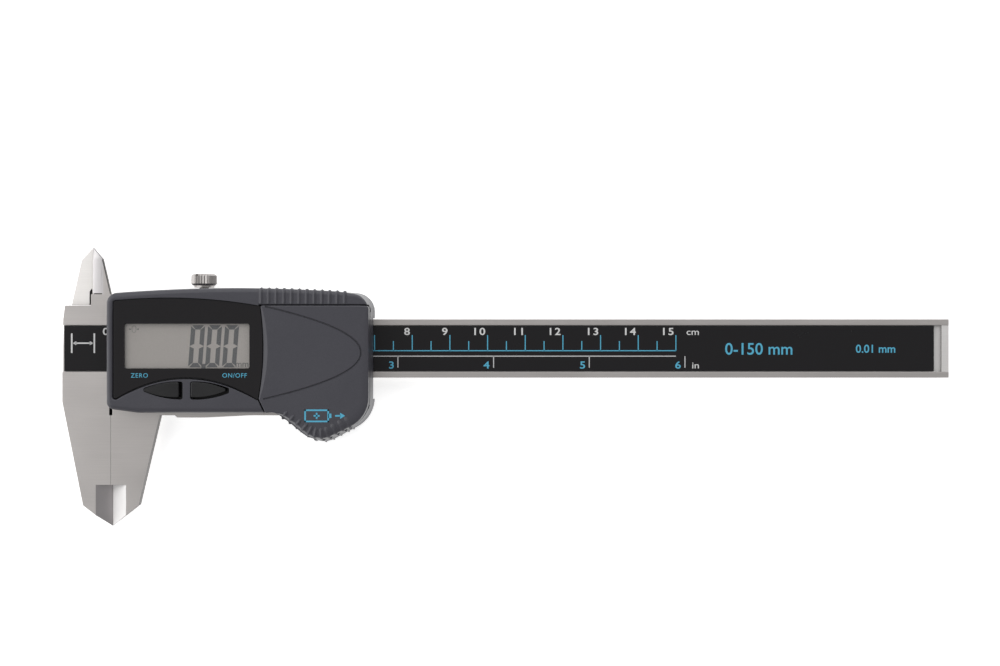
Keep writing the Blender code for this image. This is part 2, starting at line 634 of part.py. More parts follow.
def build_slider_frame(slider):
    """Build the steel slide: two rails, the web over the beam, and the moving jaws."""
    face = JAW_GAP / 2
    rail_foot = JAW_ROOT_WIDTH + RAIL_FOOT_START
    frame = prism([
        (face, LOWER_RAIL_HIGH),
        (face, JAW_TIP),
        (JAW_TIP_WIDTH, JAW_SHOULDER),
        (JAW_ROOT_WIDTH, LOWER_RAIL_LOW),
        (rail_foot, LOWER_RAIL_LOW),
        (rail_foot + RAIL_FOOT_EASE, LOWER_RAIL_LOW - RAIL_FOOT),
        (JAW_ROOT_WIDTH + RAIL_FOOT_LENGTH / 2, LOWER_RAIL_LOW - RAIL_FOOT),
        (JAW_ROOT_WIDTH + RAIL_FOOT_LENGTH, LOWER_RAIL_LOW),
        (FRAME_END, LOWER_RAIL_LOW),
        (FRAME_END, LOWER_RAIL_HIGH),
    ], BEAM_BACK, BEAM_FRONT)
    upper = box((face, UPPER_RAIL_LOW, BEAM_BACK), (FRAME_END, UPPER_RAIL_HIGH, BEAM_FRONT))
    web = box((WEB_START, WEB_LOW, WEB_BACK),
              (FRAME_END, UPPER_RAIL_HIGH - SEAT_GAP, WEB_FRONT))
    foot_low = box((WEB_START, WEB_LOW, BEAM_MIDDLE),
                   (FRAME_END, LOWER_RAIL_HIGH, WEB_FRONT))
    foot_high = box((WEB_START, UPPER_RAIL_LOW, BEAM_MIDDLE),
                    (FRAME_END, UPPER_RAIL_HIGH - SEAT_GAP, WEB_FRONT))
    top = BEAM_MIDDLE - JAW_GAP
    arm_low = HEAD_TOP + SEAT_GAP
    edge = -INSIDE_EDGE
    blade = prism([
        (edge - MOVING_ROOT_WIDTH, arm_low),
        (WEB_START, arm_low),
        (WEB_START, UPPER_RAIL_HIGH),
        (face, HEAD_TOP + BLADE_ARM_RISE),
        (edge, BLADE_ROOT + BLADE_ARM_RISE),
        (edge, INSIDE_TIP),
        (edge - MOVING_BLADE_WIDTH, INSIDE_SHOULDER_Y - SEAT_GAP),
    ], BEAM_BACK, top)
    ground = bowed((BEAM_BACK, edge - BLADE_BEVEL_WIDTH), (top - BLADE_EDGE, edge), BLADE_HOLLOW)
    bevel = prism([
        *ground,
        (top - BLADE_EDGE, edge + OVERRUN),
        (BEAM_BACK - OVERRUN, edge + OVERRUN),
        (BEAM_BACK - OVERRUN, edge - BLADE_BEVEL_WIDTH),
    ], BLADE_ROOT + BLADE_ARM_RISE, INSIDE_TIP + OVERRUN, axis="Y")
    cut(blade, bevel)
    join(frame, foot_low, foot_high, upper, web, blade)
    cut(frame, knife_cutter(), relief_cutter())
    middle = (WEB_START + FRAME_END) / 2
    half_length = READ_HEAD_LENGTH / 2 + PLATE_GAP
    half_width = READ_HEAD_WIDTH / 2 + PLATE_GAP
    window = box((middle - half_length, -half_width, WEB_BACK - OVERRUN),
                 (middle + half_length, half_width, WEB_FRONT + OVERRUN))
    cut(frame, window)
    screw_hole = SCREW_SHANK_DIAMETER / 2 + SEAT_GAP
    for x, y in BACK_SCREW_PLACES:
        cut(frame, cylinder(x, y, screw_hole, BEAM_BACK - OVERRUN, BEAM_BACK + SCREW_DEPTH))
    for x, y in BOSS_PLACES:
        head = cylinder(x, y, SCREW_HEAD_DIAMETER / 2 + HOLE_GAP, BEAM_BACK - OVERRUN,
                        BEAM_BACK + SLIDE_GAP + SCREW_HEAD_HEIGHT + SEAT_GAP)
        cut(frame, head, cylinder(x, y, screw_hole, BEAM_BACK, WEB_FRONT + OVERRUN))
    for x in GIB_SCREW_PLACES:
        radius = GIB_SCREW_DIAMETER / 2 + SEAT_GAP
        hole = turned([(radius, UPPER_RAIL_LOW - OVERRUN), (radius, UPPER_RAIL_HIGH + OVERRUN)],
                      axis="Y", centre=(x, 0.0, BEAM_MIDDLE))
        cut(frame, hole)
    radius = LOCK_THREAD / 2 + SEAT_GAP
    lock_hole = turned([(radius, UPPER_RAIL_LOW - OVERRUN), (radius, UPPER_RAIL_HIGH + OVERRUN)],
                       axis="Y", centre=(LOCK_PLACE, 0.0, BEAM_MIDDLE))
    cut(frame, lock_hole)
    place_part(frame, "slider_frame", "steel", slider)


def build_back_plate(slider):
    """Build the plate that closes the slide behind the beam, with its four screws."""
    low = LOWER_RAIL_LOW + SEAT_GAP
    high = UPPER_RAIL_HIGH - SEAT_GAP
    start = HOUSING_START
    plate = prism(rounded([
        (start, low, BACK_PLATE_ROUND),
        (FRAME_END, low, BACK_PLATE_ROUND),
        (FRAME_END, high, BACK_PLATE_ROUND),
        (start, high, BACK_PLATE_ROUND),
    ]), 0.0, BACK_TOP)
    for x, y in BACK_SCREW_PLACES:
        cut(plate, *countersunk_hole(x, y, 0.0))
    for x in RIVET_PLACES:
        cut(plate, *countersunk_hole(x, 0.0, 0.0))
    place_part(plate, "back_plate", "steel", slider)
    for number, (x, y) in enumerate(BACK_SCREW_PLACES, start=1):
        flat_screw(f"back_plate_screw_{number}", x, y, 0.0, BEAM_BACK + SCREW_DEPTH - SEAT_GAP, slider)


def build_depth_rod(slider):
    """Build the depth rod in the beam's back groove and the two rivets that hold it to the slide."""
    half = ROD_WIDTH / 2
    rod = prism([
        (ROD_START, -half),
        (BEAM_END - ROD_TIP, -half),
        (BEAM_END, -half + ROD_TIP),
        (BEAM_END, half),
        (ROD_START, half),
    ], ROD_BACK, ROD_BACK + ROD_THICKNESS)
    for x in RIVET_PLACES:
        hole = SCREW_SHANK_DIAMETER / 2 + SEAT_GAP
        cut(rod, cylinder(x, 0.0, hole, ROD_BACK - OVERRUN, ROD_BACK + ROD_THICKNESS + OVERRUN))
    place_part(rod, "depth_rod", "bright_steel", slider)
    for number, x in enumerate(RIVET_PLACES, start=1):
        head = SCREW_HEAD_DIAMETER / 2
        shank = SCREW_SHANK_DIAMETER / 2
        shoulder = SLIDE_GAP + SCREW_HEAD_HEIGHT
        rivet = turned([(head, SLIDE_GAP), (head, shoulder), (shank, shoulder),
                        (shank, ROD_BACK + ROD_THICKNESS)], centre=(x, 0.0, 0.0))
        place_part(rivet, f"depth_rod_rivet_{number}", "bright_steel", slider, (x, 0.0, 0.0))


def build_gib(slider):
    """Build the gib strip between the beam's upper edge and the upper rail, and its set screws."""
    gib = box((GIB_INSET, GIB_LOW, BEAM_BACK + PLATE_GAP),
              (FRAME_END - GIB_INSET, GIB_HIGH, BEAM_FRONT - PLATE_GAP))
    place_part(gib, "gib", "brass", slider)
    for number, x in enumerate(GIB_SCREW_PLACES, start=1):
        radius = GIB_SCREW_DIAMETER / 2
        top = UPPER_RAIL_HIGH - SEAT_GAP
        screw = turned([(radius, GIB_HIGH + SEAT_GAP), (radius, top)], axis="Y", centre=(x, 0.0, BEAM_MIDDLE))
        slot = box((x - radius * 2, top - DRIVE_SLOT_DEPTH, BEAM_MIDDLE - DRIVE_SLOT_WIDTH / 2),
                   (x + radius * 2, top + OVERRUN, BEAM_MIDDLE + DRIVE_SLOT_WIDTH / 2))
        cut(screw, slot)
        place_part(screw, f"gib_screw_{number}", "bright_steel", slider, (x, UPPER_RAIL_MIDDLE, BEAM_MIDDLE))


def build_lock(slider):
    """Build the knurled lock screw and the brass pad between its tip and the gib."""
    centre = (LOCK_PLACE, 0.0, BEAM_MIDDLE)
    pad_low = GIB_HIGH + LOCK_PAD_TRAVEL
    pad_high = pad_low + LOCK_PAD_THICKNESS
    thread = LOCK_THREAD / 2
    pad = turned([(thread, pad_low), (thread, pad_high)], axis="Y", centre=centre)
    place_part(pad, "lock_pad", "brass", slider, (LOCK_PLACE, pad_low, BEAM_MIDDLE))
    neck_low = crown_height(LOCK_PLACE) + LOCK_LIFT
    head_low = neck_low + LOCK_NECK_HEIGHT
    top = head_low + LOCK_HEAD_HEIGHT
    neck = LOCK_NECK_DIAMETER / 2
    head = LOCK_HEAD_DIAMETER / 2
    screw = turned([
        (thread, pad_high + SEAT_GAP),
        (thread, neck_low),
        (neck, neck_low),
        (neck, head_low),
        (head, head_low),
        (head, top),
    ], axis="Y", centre=centre, sides=KNOB_SIDES)
    slot = box((LOCK_PLACE - LOCK_SLOT_WIDTH / 2, top - LOCK_SLOT_DEPTH, BEAM_MIDDLE - head * 2),
               (LOCK_PLACE + LOCK_SLOT_WIDTH / 2, top + OVERRUN, BEAM_MIDDLE + head * 2))
    cut(screw, slot)
    place_part(screw, "lock_screw", "bright_steel", slider, (LOCK_PLACE, neck_low, BEAM_MIDDLE))


def crown_height(x):
    """Return the height of the casing's crowned top edge at x."""
    middle = (HOUSING_START + HOUSING_END) / 2
    share = (x - middle) / (HOUSING_END - middle)
    return HOUSING_TOP - TOP_CROWN * share * share


def thumb_outline(start, ledge):
    """Return the corners of the thumb rest along the casing's lower right edge, from start on.

    The ledge is how far the heel of the lower layer stands out past the cover above it.
    """
    heel_x = HOUSING_END - THUMB_HEEL_INSET + ledge
    heel_y = HOUSING_BOTTOM - THUMB_HEEL_DROP - ledge
    return [
        (start, HOUSING_BOTTOM, 0.0),
        (DISPLAY_LENGTH + THUMB_ROOT_PLACE, HOUSING_BOTTOM - THUMB_ROOT_DROP, THUMB_ROOT_ROUND),
        (DISPLAY_LENGTH + THUMB_LOW_PLACE + ledge, THUMB_BOTTOM, THUMB_LOW_ROUND),
        (heel_x, heel_y, THUMB_HEEL_ROUND),
        (HOUSING_END, HOUSING_BOTTOM + THUMB_END_RISE, THUMB_HEEL_ROUND),
    ]


def casing_outline():
    """Return the outline of the casing with its crowned top edge and its thumb rest."""
    steps = ARC_STEPS * 2
    first = HOUSING_END - CROWN_INSET
    last = HOUSING_START + CROWN_INSET
    crown = []
    for step in range(steps + 1):
        x = first + (last - first) * step / steps
        crown.append((x, crown_height(x), 0.0))
    return rounded([
        (HOUSING_START, HOUSING_BOTTOM + CASING_SHOULDER, CASING_ROUND / 2),
        (HOUSING_START + CASING_SHOULDER, HOUSING_BOTTOM, CASING_ROUND),
        *thumb_outline(DISPLAY_LENGTH, THUMB_LEDGE),
        (HOUSING_END, crown_height(HOUSING_END), CASING_ROUND),
        *crown,
        (HOUSING_START, crown_height(HOUSING_START), CASING_ROUND),
    ])


def window_outline(grow=0.0):
    """Return the outline of the window panel, moved out by grow."""
    left = WINDOW_LEFT - grow
    right = WINDOW_RIGHT + grow
    high = HOUSING_TOP - WINDOW_TOP_DROP - WINDOW_SHOULDER + grow
    low = WINDOW_LOW - grow
    bottom = bowed((left, low), (right, low), WINDOW_ARC_RISE)
    top = bowed((right, high - WINDOW_SHOULDER), (left, high), -WINDOW_TOP_BOW)
    return bottom + top


def screen_box(grow, low, high):
    """Return a block over the display's clear screen, moved out by grow."""
    return box((SCREEN_LEFT - grow, SCREEN_LOW - grow, low), (SCREEN_RIGHT + grow, SCREEN_HIGH + grow, high))


def key_outline(side, grow=0.0):
    """Return a leaf-shaped key outline; side is -1 for the left key and 1 for the right one."""
    near = KEYS_MIDDLE + side * (KEY_SPACING / 2 - grow)
    far = KEYS_MIDDLE + side * (KEY_SPACING / 2 + KEY_LENGTH + grow)
    half = KEY_HEIGHT / 2 + grow
    tip = KEY_TIP / 2 + grow
    upper = bowed((near, KEY_MIDDLE_Y + half), (far, KEY_MIDDLE_Y + tip), side * KEY_BOW)
    lower = bowed((far, KEY_MIDDLE_Y - tip), (near, KEY_MIDDLE_Y - half), side * KEY_BOW)
    return upper + lower


def build_housing(slider):
    """Build the casing over the slide, with its openings, deck, bosses and skirts."""
    housing = prism(casing_outline(), SKIRT_LOW, FRONT_Z)
    bay = box((DISPLAY_LENGTH, THUMB_BOTTOM - OVERRUN, DECK_TOP),
              (HOUSING_END + OVERRUN, RIM_LOW, FRONT_Z + OVERRUN))
    inner_left = HOUSING_START + HOUSING_WALL
    inner_high = crown_height(inner_left) - HOUSING_WALL
    inner_right = HOUSING_END - END_WALL
    display_room = box((inner_left, HOUSING_INNER_LOW, SKIRT_LOW - OVERRUN),
                       (DISPLAY_LENGTH, inner_high, FRONT_INSIDE))
    bay_room = box((DISPLAY_LENGTH - OVERRUN, HOUSING_INNER_LOW, SKIRT_LOW - OVERRUN),
                   (inner_right, inner_high, DECK_BOTTOM))
    frame_low = min(LOWER_RAIL_LOW - RAIL_FOOT, HOUSING_BOTTOM) - PLATE_GAP
    frame_room = box((HOUSING_START - OVERRUN, frame_low, SKIRT_LOW - OVERRUN),
                     (FRAME_END + PLATE_GAP, UPPER_RAIL_HIGH + PLATE_GAP, WEB_BACK))
    jaw_room = box((HOUSING_START - OVERRUN, HALF_BEAM, SKIRT_LOW - OVERRUN),
                   (WEB_START + OVERRUN, HOUSING_TOP + OVERRUN, WEB_BACK))
    beam_room = box((FRAME_END, -HALF_BEAM - END_NOTCH_DROP, SKIRT_LOW - OVERRUN),
                    (HOUSING_END + OVERRUN, HALF_BEAM + PLATE_GAP, WEB_BACK))
    cut(housing, bay, display_room, bay_room, frame_room, jaw_room, beam_room)
    bosses = []
    for x, y in BOSS_PLACES:
        bosses.append(cylinder(x, y, BOSS_DIAMETER / 2, WEB_FRONT + SEAT_GAP, FRONT_INSIDE + HOLE_GAP))
    join(housing, *bosses)
    for x, y in BOSS_PLACES:
        radius = SCREW_SHANK_DIAMETER / 2 + SEAT_GAP
        top = WEB_FRONT + BOSS_SCREW_BITE + SEAT_GAP
        cut(housing, cylinder(x, y, radius, WEB_FRONT - OVERRUN, top))
    pocket = prism(window_outline(HOLE_GAP), WINDOW_LEDGE, FRONT_Z + OVERRUN)
    slack = box((WINDOW_RIGHT - OVERRUN, WINDOW_LOW, WINDOW_LEDGE),
                (DISPLAY_LENGTH + OVERRUN, RIM_LOW, FRONT_Z + OVERRUN))
    screen = screen_box(HOLE_GAP, FRONT_INSIDE - OVERRUN, WINDOW_LEDGE + OVERRUN)
    keys = []
    for side in (-1, 1):
        keys.append(prism(key_outline(side, HOLE_GAP), FRONT_INSIDE - OVERRUN, FRONT_Z + OVERRUN))
    cut(housing, pocket, slack, screen, *keys)
    cell_hole = turned([(DECK_HOLE_RADIUS, DECK_BOTTOM - OVERRUN), (DECK_HOLE_RADIUS, DECK_TOP + OVERRUN)],
                       centre=(CELL_X, CELL_Y, 0.0), sides=WIDE_SIDES)
    guides = []
    for y in GUIDE_PLACES:
        half = GUIDE_WIDTH / 2 + HOLE_GAP
        guides.append(box((DISPLAY_LENGTH, y - half, DECK_TOP - GUIDE_HEIGHT - HOLE_GAP),
                          (HOUSING_END + OVERRUN, y + half, DECK_TOP + OVERRUN)))
    cut(housing, cell_hole, *guides)
    notch_half = LOCK_THREAD / 2 + PLATE_GAP
    notch = box((LOCK_PLACE - notch_half, UPPER_RAIL_LOW, SKIRT_LOW - OVERRUN),
                (LOCK_PLACE + notch_half, HOUSING_TOP + OVERRUN, BEAM_MIDDLE + notch_half))
    cut(housing, notch)
    ribs = []
    for number in range(GRIP_RIBS):
        x = DISPLAY_LENGTH - GRIP_RIB_LEAD + number * GRIP_RIB_PITCH
        ribs.append(box((x - GRIP_RIB_WIDTH / 2, crown_height(x) - HOUSING_WALL, DECK_TOP),
                        (x + GRIP_RIB_WIDTH / 2, crown_height(x) + GRIP_RIB_HEIGHT, FRONT_Z - OVERRUN)))
    join(housing, *ribs)
    place_part(housing, "main_housing", "casing", slider)
    for number, (x, y) in enumerate(BOSS_PLACES, start=1):
        flat_screw(f"housing_screw_{number}", x, y, BEAM_BACK, WEB_FRONT + BOSS_SCREW_BITE, slider)


def build_display(slider):
    """Build the window, its gasket, the display glass and its two rubber connectors."""
    window = prism(window_outline(), WINDOW_BACK, WINDOW_FRONT)
    place_part(window, "display_window", "gloss_black", slider)
    gasket = screen_box(GASKET_WIDTH + HOLE_GAP, GASKET_BACK, GASKET_BACK + GASKET_THICKNESS)
    cut(gasket, screen_box(HOLE_GAP, GASKET_BACK - OVERRUN, WINDOW_BACK + OVERRUN))
    place_part(gasket, "window_gasket", "rubber", slider)
    glass = box((SCREEN_LEFT - LCD_BORDER, LCD_LOW, LCD_BACK),
                (SCREEN_RIGHT + LCD_BORDER, LCD_HIGH, LCD_FRONT))
    place_part(glass, "lcd_glass", "display", slider)
    for name, y in (("zebra_strip_upper", LCD_HIGH - ZEBRA_WIDTH), ("zebra_strip_lower", LCD_LOW)):
        strip = box((SCREEN_LEFT, y, PCB_FRONT + SEAT_GAP),
                    (SCREEN_RIGHT, y + ZEBRA_WIDTH, LCD_BACK - SEAT_GAP))
        place_part(strip, name, "rubber", slider)


def build_electronics(slider):
    """Build the circuit boards and the parts on them."""
    boss = BOSS_DIAMETER / 2 + PLATE_GAP
    left = HOUSING_START + HOUSING_WALL + PLATE_GAP
    right = DISPLAY_LENGTH + PLATE_GAP
    high = BOSS_Y_HIGH - boss
    notch = BOSS_Y_LOW + boss
    low = BOSS_Y_LOW - boss / 2
    keys_left = BOSS_LEFT + boss
    keys_right = BOSS_RIGHT - boss
    board = prism([
        (left, notch),
        (keys_left, notch),
        (keys_left, low),
        (keys_right, low),
        (keys_right, notch),
        (right, notch),
        (right, high),
        (left, high),
    ], PCB_BACK, PCB_FRONT)
    place_part(board, "main_board", "circuit_board", slider)
    middle = (WEB_START + FRAME_END) / 2
    half = READ_HEAD_LENGTH / 2
    head = box((middle - half, -READ_HEAD_WIDTH / 2, WEB_FRONT - READ_HEAD_THICKNESS - SLIDE_GAP),
               (middle + half, READ_HEAD_WIDTH / 2, WEB_FRONT - SLIDE_GAP))
    place_part(head, "read_head_board", "circuit_board", slider)
    base = PCB_FRONT + SLIDE_GAP
    chip_x = SCREEN_LEFT + CHIP_PLACE
    chip = box((chip_x, SCREEN_MIDDLE_Y - CHIP_SIZE / 2, base),
               (chip_x + CHIP_SIZE, SCREEN_MIDDLE_Y + CHIP_SIZE / 2, base + CHIP_HEIGHT))
    place_part(chip, "measuring_chip", "chip", slider)
    crystal_x = chip_x + CHIP_SIZE + CRYSTAL_SPACING
    radius = CRYSTAL_DIAMETER / 2
    crystal = turned([(radius, crystal_x), (radius, crystal_x + CRYSTAL_LENGTH)], axis="X",
                     centre=(0.0, SCREEN_MIDDLE_Y, base + radius))
    place_part(crystal, "quartz_crystal", "bright_steel", slider)


def build_keys(slider):
    """Build the two keys and the rubber mat under them."""
    for name, side in (("left_button", -1), ("right_button", 1)):
        key = prism(key_outline(side), KEY_BACK, KEY_FRONT)
        flange = prism(key_outline(side, KEY_FLANGE + HOLE_GAP), KEY_BACK, KEY_BACK + KEY_FLANGE_THICKNESS)
        join(flange, key)
        place_part(flange, name, "key", slider, (KEYS_MIDDLE + side * KEY_X, KEY_MIDDLE_Y, KEY_BACK))
    reach = KEY_LENGTH + KEY_SPACING / 2
    mat_high = min(KEY_MIDDLE_Y + KEY_HEIGHT / 2, LCD_LOW - PLATE_GAP)
    mat = box((KEYS_MIDDLE - reach, KEY_MIDDLE_Y - KEY_HEIGHT / 2, PCB_FRONT + SEAT_GAP),
              (KEYS_MIDDLE + reach, mat_high, KEY_BACK - KEY_TRAVEL - HOLE_GAP))
    place_part(mat, "key_mat", "rubber", slider)


def build_battery(slider):
    """Build the coin cell, its tray and its two contacts."""
    centre = (CELL_X, CELL_Y, 0.0)
    floor = TRAY_BACK + TRAY_FLOOR
    tray = turned([(TRAY_RADIUS, TRAY_BACK), (TRAY_RADIUS, CELL_FRONT - HOLE_GAP)],
                  centre=centre, sides=WIDE_SIDES)
    pocket = turned([(CELL_POCKET_RADIUS, floor), (CELL_POCKET_RADIUS, CELL_FRONT + OVERRUN)],
                    centre=centre, sides=WIDE_SIDES)
    strip_half = CONTACT_WIDTH / 2
    slot_half = strip_half + HOLE_GAP
    slot_start = CELL_X - TRAY_RADIUS - OVERRUN
    negative_slot = box((slot_start, CELL_Y - slot_half, floor),
                        (CELL_X - CELL_POCKET_RADIUS / 2, CELL_Y + slot_half, CELL_BACK + OVERRUN))
    positive_y = CELL_Y + CELL_POCKET_RADIUS - CONTACT_INSET
    positive_slot = box((slot_start, positive_y - slot_half / 2, floor),
                        (CELL_X, positive_y + slot_half / 2, CELL_FRONT + OVERRUN))
    cut(tray, pocket, negative_slot, positive_slot)
    place_part(tray, "battery_tray", "casing", slider)
    radius = CELL_DIAMETER / 2
    cell = turned([
        (radius - CELL_CHAMFER, CELL_BACK),
        (radius, CELL_BACK + CELL_CHAMFER),
        (radius, CELL_FRONT),
    ], centre=centre, sides=WIDE_SIDES)
    place_part(cell, "coin_cell", "bright_steel", slider)
    tail = DISPLAY_LENGTH - CONTACT_TAIL
    front = CONTACT_BACK + CONTACT_THICKNESS
    negative = box((tail, CELL_Y - strip_half, CONTACT_BACK),
                   (CELL_X + strip_half, CELL_Y + strip_half, front))
    place_part(negative, "negative_contact", "brass", slider)
    low_y = positive_y - strip_half / 2
    high_y = positive_y + strip_half / 2
    reach = math.sqrt(radius ** 2 - (low_y - CELL_Y) ** 2)
    blade_x = CELL_X - reach - HOLE_GAP
    positive = box((tail, low_y, CONTACT_BACK), (blade_x, high_y, front))
    blade = box((blade_x - CONTACT_THICKNESS * 2, low_y, CONTACT_BACK),
                (blade_x, high_y, CELL_FRONT - OVERRUN))
    join(positive, blade)
    place_part(positive, "positive_contact", "brass", slider)


def build_battery_cover(slider):
    """Build the sliding battery cover with its thumb rest, and the seal under it."""
    left = DISPLAY_LENGTH + HOLE_GAP
    right = HOUSING_END
    high = RIM_LOW - HOLE_GAP
    outline = rounded([(left, high, 0.0), *thumb_outline(left, 0.0), (right, high, 0.0)])
    cover = prism(outline, COVER_BACK, FRONT_Z)
    inner = COVER_SIDE_WALL
    hollow = box((left + inner, HOUSING_BOTTOM + inner, COVER_BACK - OVERRUN),
                 (right - inner, high - inner, FRONT_Z - COVER_TOP_WALL))
    cut(cover, hollow)
    guides = []
    for y in GUIDE_PLACES:
        guides.append(box((left + inner / 2, y - GUIDE_WIDTH / 2, DECK_TOP - GUIDE_HEIGHT),
                          (right - inner / 2, y + GUIDE_WIDTH / 2, COVER_BACK + OVERRUN)))
    join(cover, *guides)
    place_part(cover, "battery_cover", "casing", slider)
    seal_inside = TRAY_RADIUS + SLIDE_GAP
    seal_outside = seal_inside + SEAL_WIDTH
    seal_low = DECK_TOP - SEAL_HEIGHT
    centre = (CELL_X, CELL_Y, 0.0)
    seal = turned([(seal_outside, seal_low), (seal_outside, DECK_TOP)], centre=centre, sides=WIDE_SIDES)
    hole = turned([(seal_inside, seal_low - OVERRUN), (seal_inside, DECK_TOP + OVERRUN)],
                  centre=centre, sides=WIDE_SIDES)
    cut(seal, hole)
    place_part(seal, "battery_seal", "rubber", slider)


def build_wipers(slider):
    """Build the two wipers that sweep the scale at the ends of the slide."""
    half = SCALE_GROOVE_WIDTH / 2
    low = BEAM_FRONT + SEAT_GAP
    left = WEB_START - SEAT_GAP - WIPER_THICKNESS
    places = (("beam_wiper_left", left), ("beam_wiper_right", FRAME_END + SEAT_GAP))
    for name, x in places:
        wiper = box((x, -half, low), (x + WIPER_THICKNESS, half, low + WIPER_HEIGHT))
        place_part(wiper, name, "felt", slider)


def build_caliper():
    """Build the whole caliper around its root, centred over the surface that it rests on."""
    clear_scene()
    middle_x = (BEAM_END - HEAD_WIDTH) / 2
    middle_y = (INSIDE_TIP + JAW_TIP) / 2
    root = make_empty("caliper", None, (-middle_x, -middle_y, 0.0))
    slider = make_empty("slider", root)
    build_beam(root)
    build_scale(root)
    build_end_stop(root)
    build_slider_frame(slider)
    build_back_plate(slider)
    build_depth_rod(slider)
    build_gib(slider)
    build_lock(slider)
    build_housing(slider)
    build_display(slider)
    build_electronics(slider)
    build_keys(slider)
    build_battery(slider)
    build_battery_cover(slider)
    build_wipers(slider)


build_caliper()
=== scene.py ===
"""Looks of a digital caliper: a ground steel beam and jaws under a moulded display casing.

Lengths in this file are millimetres on the caliper's own drawing axes: X along the beam from the
measuring plane, Y across it from the middle of the beam, Z up from the surface that it lies on.
"""
import logging
import math
from dataclasses import dataclass
from enum import Enum
from typing import Sequence

import bmesh
import bpy
import numpy as np
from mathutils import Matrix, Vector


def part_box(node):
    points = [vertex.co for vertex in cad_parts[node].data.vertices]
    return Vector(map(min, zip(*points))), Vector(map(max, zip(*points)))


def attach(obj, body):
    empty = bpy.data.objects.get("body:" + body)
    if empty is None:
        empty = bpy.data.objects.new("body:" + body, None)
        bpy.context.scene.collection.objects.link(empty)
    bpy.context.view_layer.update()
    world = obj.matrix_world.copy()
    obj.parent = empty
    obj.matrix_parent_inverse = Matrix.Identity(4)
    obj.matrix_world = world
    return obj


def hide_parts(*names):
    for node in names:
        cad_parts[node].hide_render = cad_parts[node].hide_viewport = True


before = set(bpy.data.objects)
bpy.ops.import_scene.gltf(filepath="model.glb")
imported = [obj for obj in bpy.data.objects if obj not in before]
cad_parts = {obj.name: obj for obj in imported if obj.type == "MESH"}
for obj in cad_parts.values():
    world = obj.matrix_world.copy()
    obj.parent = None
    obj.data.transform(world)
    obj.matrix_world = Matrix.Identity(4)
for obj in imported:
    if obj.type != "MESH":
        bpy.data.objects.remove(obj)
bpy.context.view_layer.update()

LOG = logging.getLogger("caliper")
Object = bpy.types.Object
Socket = bpy.types.NodeSocket
Points = np.ndarray
Colour = tuple[float, float, float]
Corner = tuple[float, float, float]
Ring = tuple[float | Points, float | Points]

MM = 0.001
TINY = 1e-9
# In metres: the grid that a node's points snap to, and the length of edges that are merged away.
WELD = 1e-7
SLIVER = 3e-6
ARC_STEPS = 8
EDGE_STEPS = 6
RIB_STEPS = 8
LETTER_STEPS = 4
ROUND_SIDES = 64
OUTLINE_STEP = 0.8
OVERRUN = 1.0
CREASE = math.radians(32)
FLAT_ANGLE = math.radians(1)
# Height and half width of a rib's section, as shares of the rib's own.
RIDGE_SHAPE = np.array([[-0.4, -1.0], [0.0, -0.95], [0.9, -0.15], [1.0, 0.0],
                        [0.9, 0.15], [0.0, 0.95], [-0.4, 1.0]])
RIB_TIP = 0.3
CAPITAL_SHARE = 0.73
# The part of a noise's range that is spread over a finish.
PATTERN_RANGE = (0.25, 0.75)
GRAIN_DETAIL, LINE_DETAIL, CLOUD_DETAIL, BOARD_DETAIL = 2.0, 3.0, 5.0, 4.0
# Width, length and spacing of circuit traces, as shares of their scale.
TRACE_WIDTH, TRACE_LENGTH, TRACE_ROW = 0.03, 2.3, 0.4
LABEL_LEAD = 12.4
LABEL_LOW, LABEL_HIGH = (np.array(corner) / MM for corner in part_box("scale_label"))
DATUM = np.array([LABEL_LOW[0] + LABEL_LEAD, (LABEL_LOW[1] + LABEL_HIGH[1]) / 2, 0.0])


class Body(Enum):
    """The caliper's moving bodies."""

    BEAM = "beam"
    SLIDER = "slider"
    LOCK_SCREW = "lock_screw"
    LEFT_BUTTON = "left_button"
    RIGHT_BUTTON = "right_button"
    BATTERY_COVER = "battery_cover"


class Slot(Enum):
    """Names of material slots, passed along with each new piece."""

    STEEL = "steel"
    BRIGHT_STEEL = "bright_steel"
    CASING = "casing"
    GLOSS_BLACK = "gloss_black"
    KEY = "key"
    SCALE_PRINT = "scale_print"
    DISPLAY = "display"


class Operation(Enum):
    """The two ways of combining solids."""

    CUT = "DIFFERENCE"
    JOIN = "UNION"


class Pose(Enum):
    """Axes of a turned piece: two across it, and the one that it is turned about."""

    FRONT = ((1, 0, 0), (0, 1, 0), (0, 0, 1))
    BACK = ((0, 1, 0), (1, 0, 0), (0, 0, -1))
    TOP = ((0, 0, 1), (1, 0, 0), (0, 1, 0))


class Justify(Enum):
    """The end of a line of lettering that sits on its place."""

    LEFT = 0.0
    MIDDLE = 0.5
    RIGHT = 1.0


class Brushing(Enum):
    """The turn, in radians about Z, of the lines that brushing leaves on steel."""

    LENGTHWAYS = 0.0
    CROSSWAYS = math.pi / 2


def drawing_box(node: str) -> tuple[Points, Points]:
    """Return a node's box on the drawing axes.

    Args:
        node: the name of the node.

    Returns:
        Its lowest and its highest corner.
    """
    low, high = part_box(node)
    return np.array(low) / MM - DATUM, np.array(high) / MM - DATUM


def round_box(node: str) -> tuple[Points, Points, Points, float]:
    """Return a round node's lowest and highest corner, its middle, and its radius."""
    low, high = drawing_box(node)
    return low, high, (low + high) / 2, (high[0] - low[0]) / 2


def unit(vectors: Points) -> Points:
    """Return vectors scaled to length one."""
    return vectors / np.maximum(np.linalg.norm(vectors, axis=-1, keepdims=True), TINY)


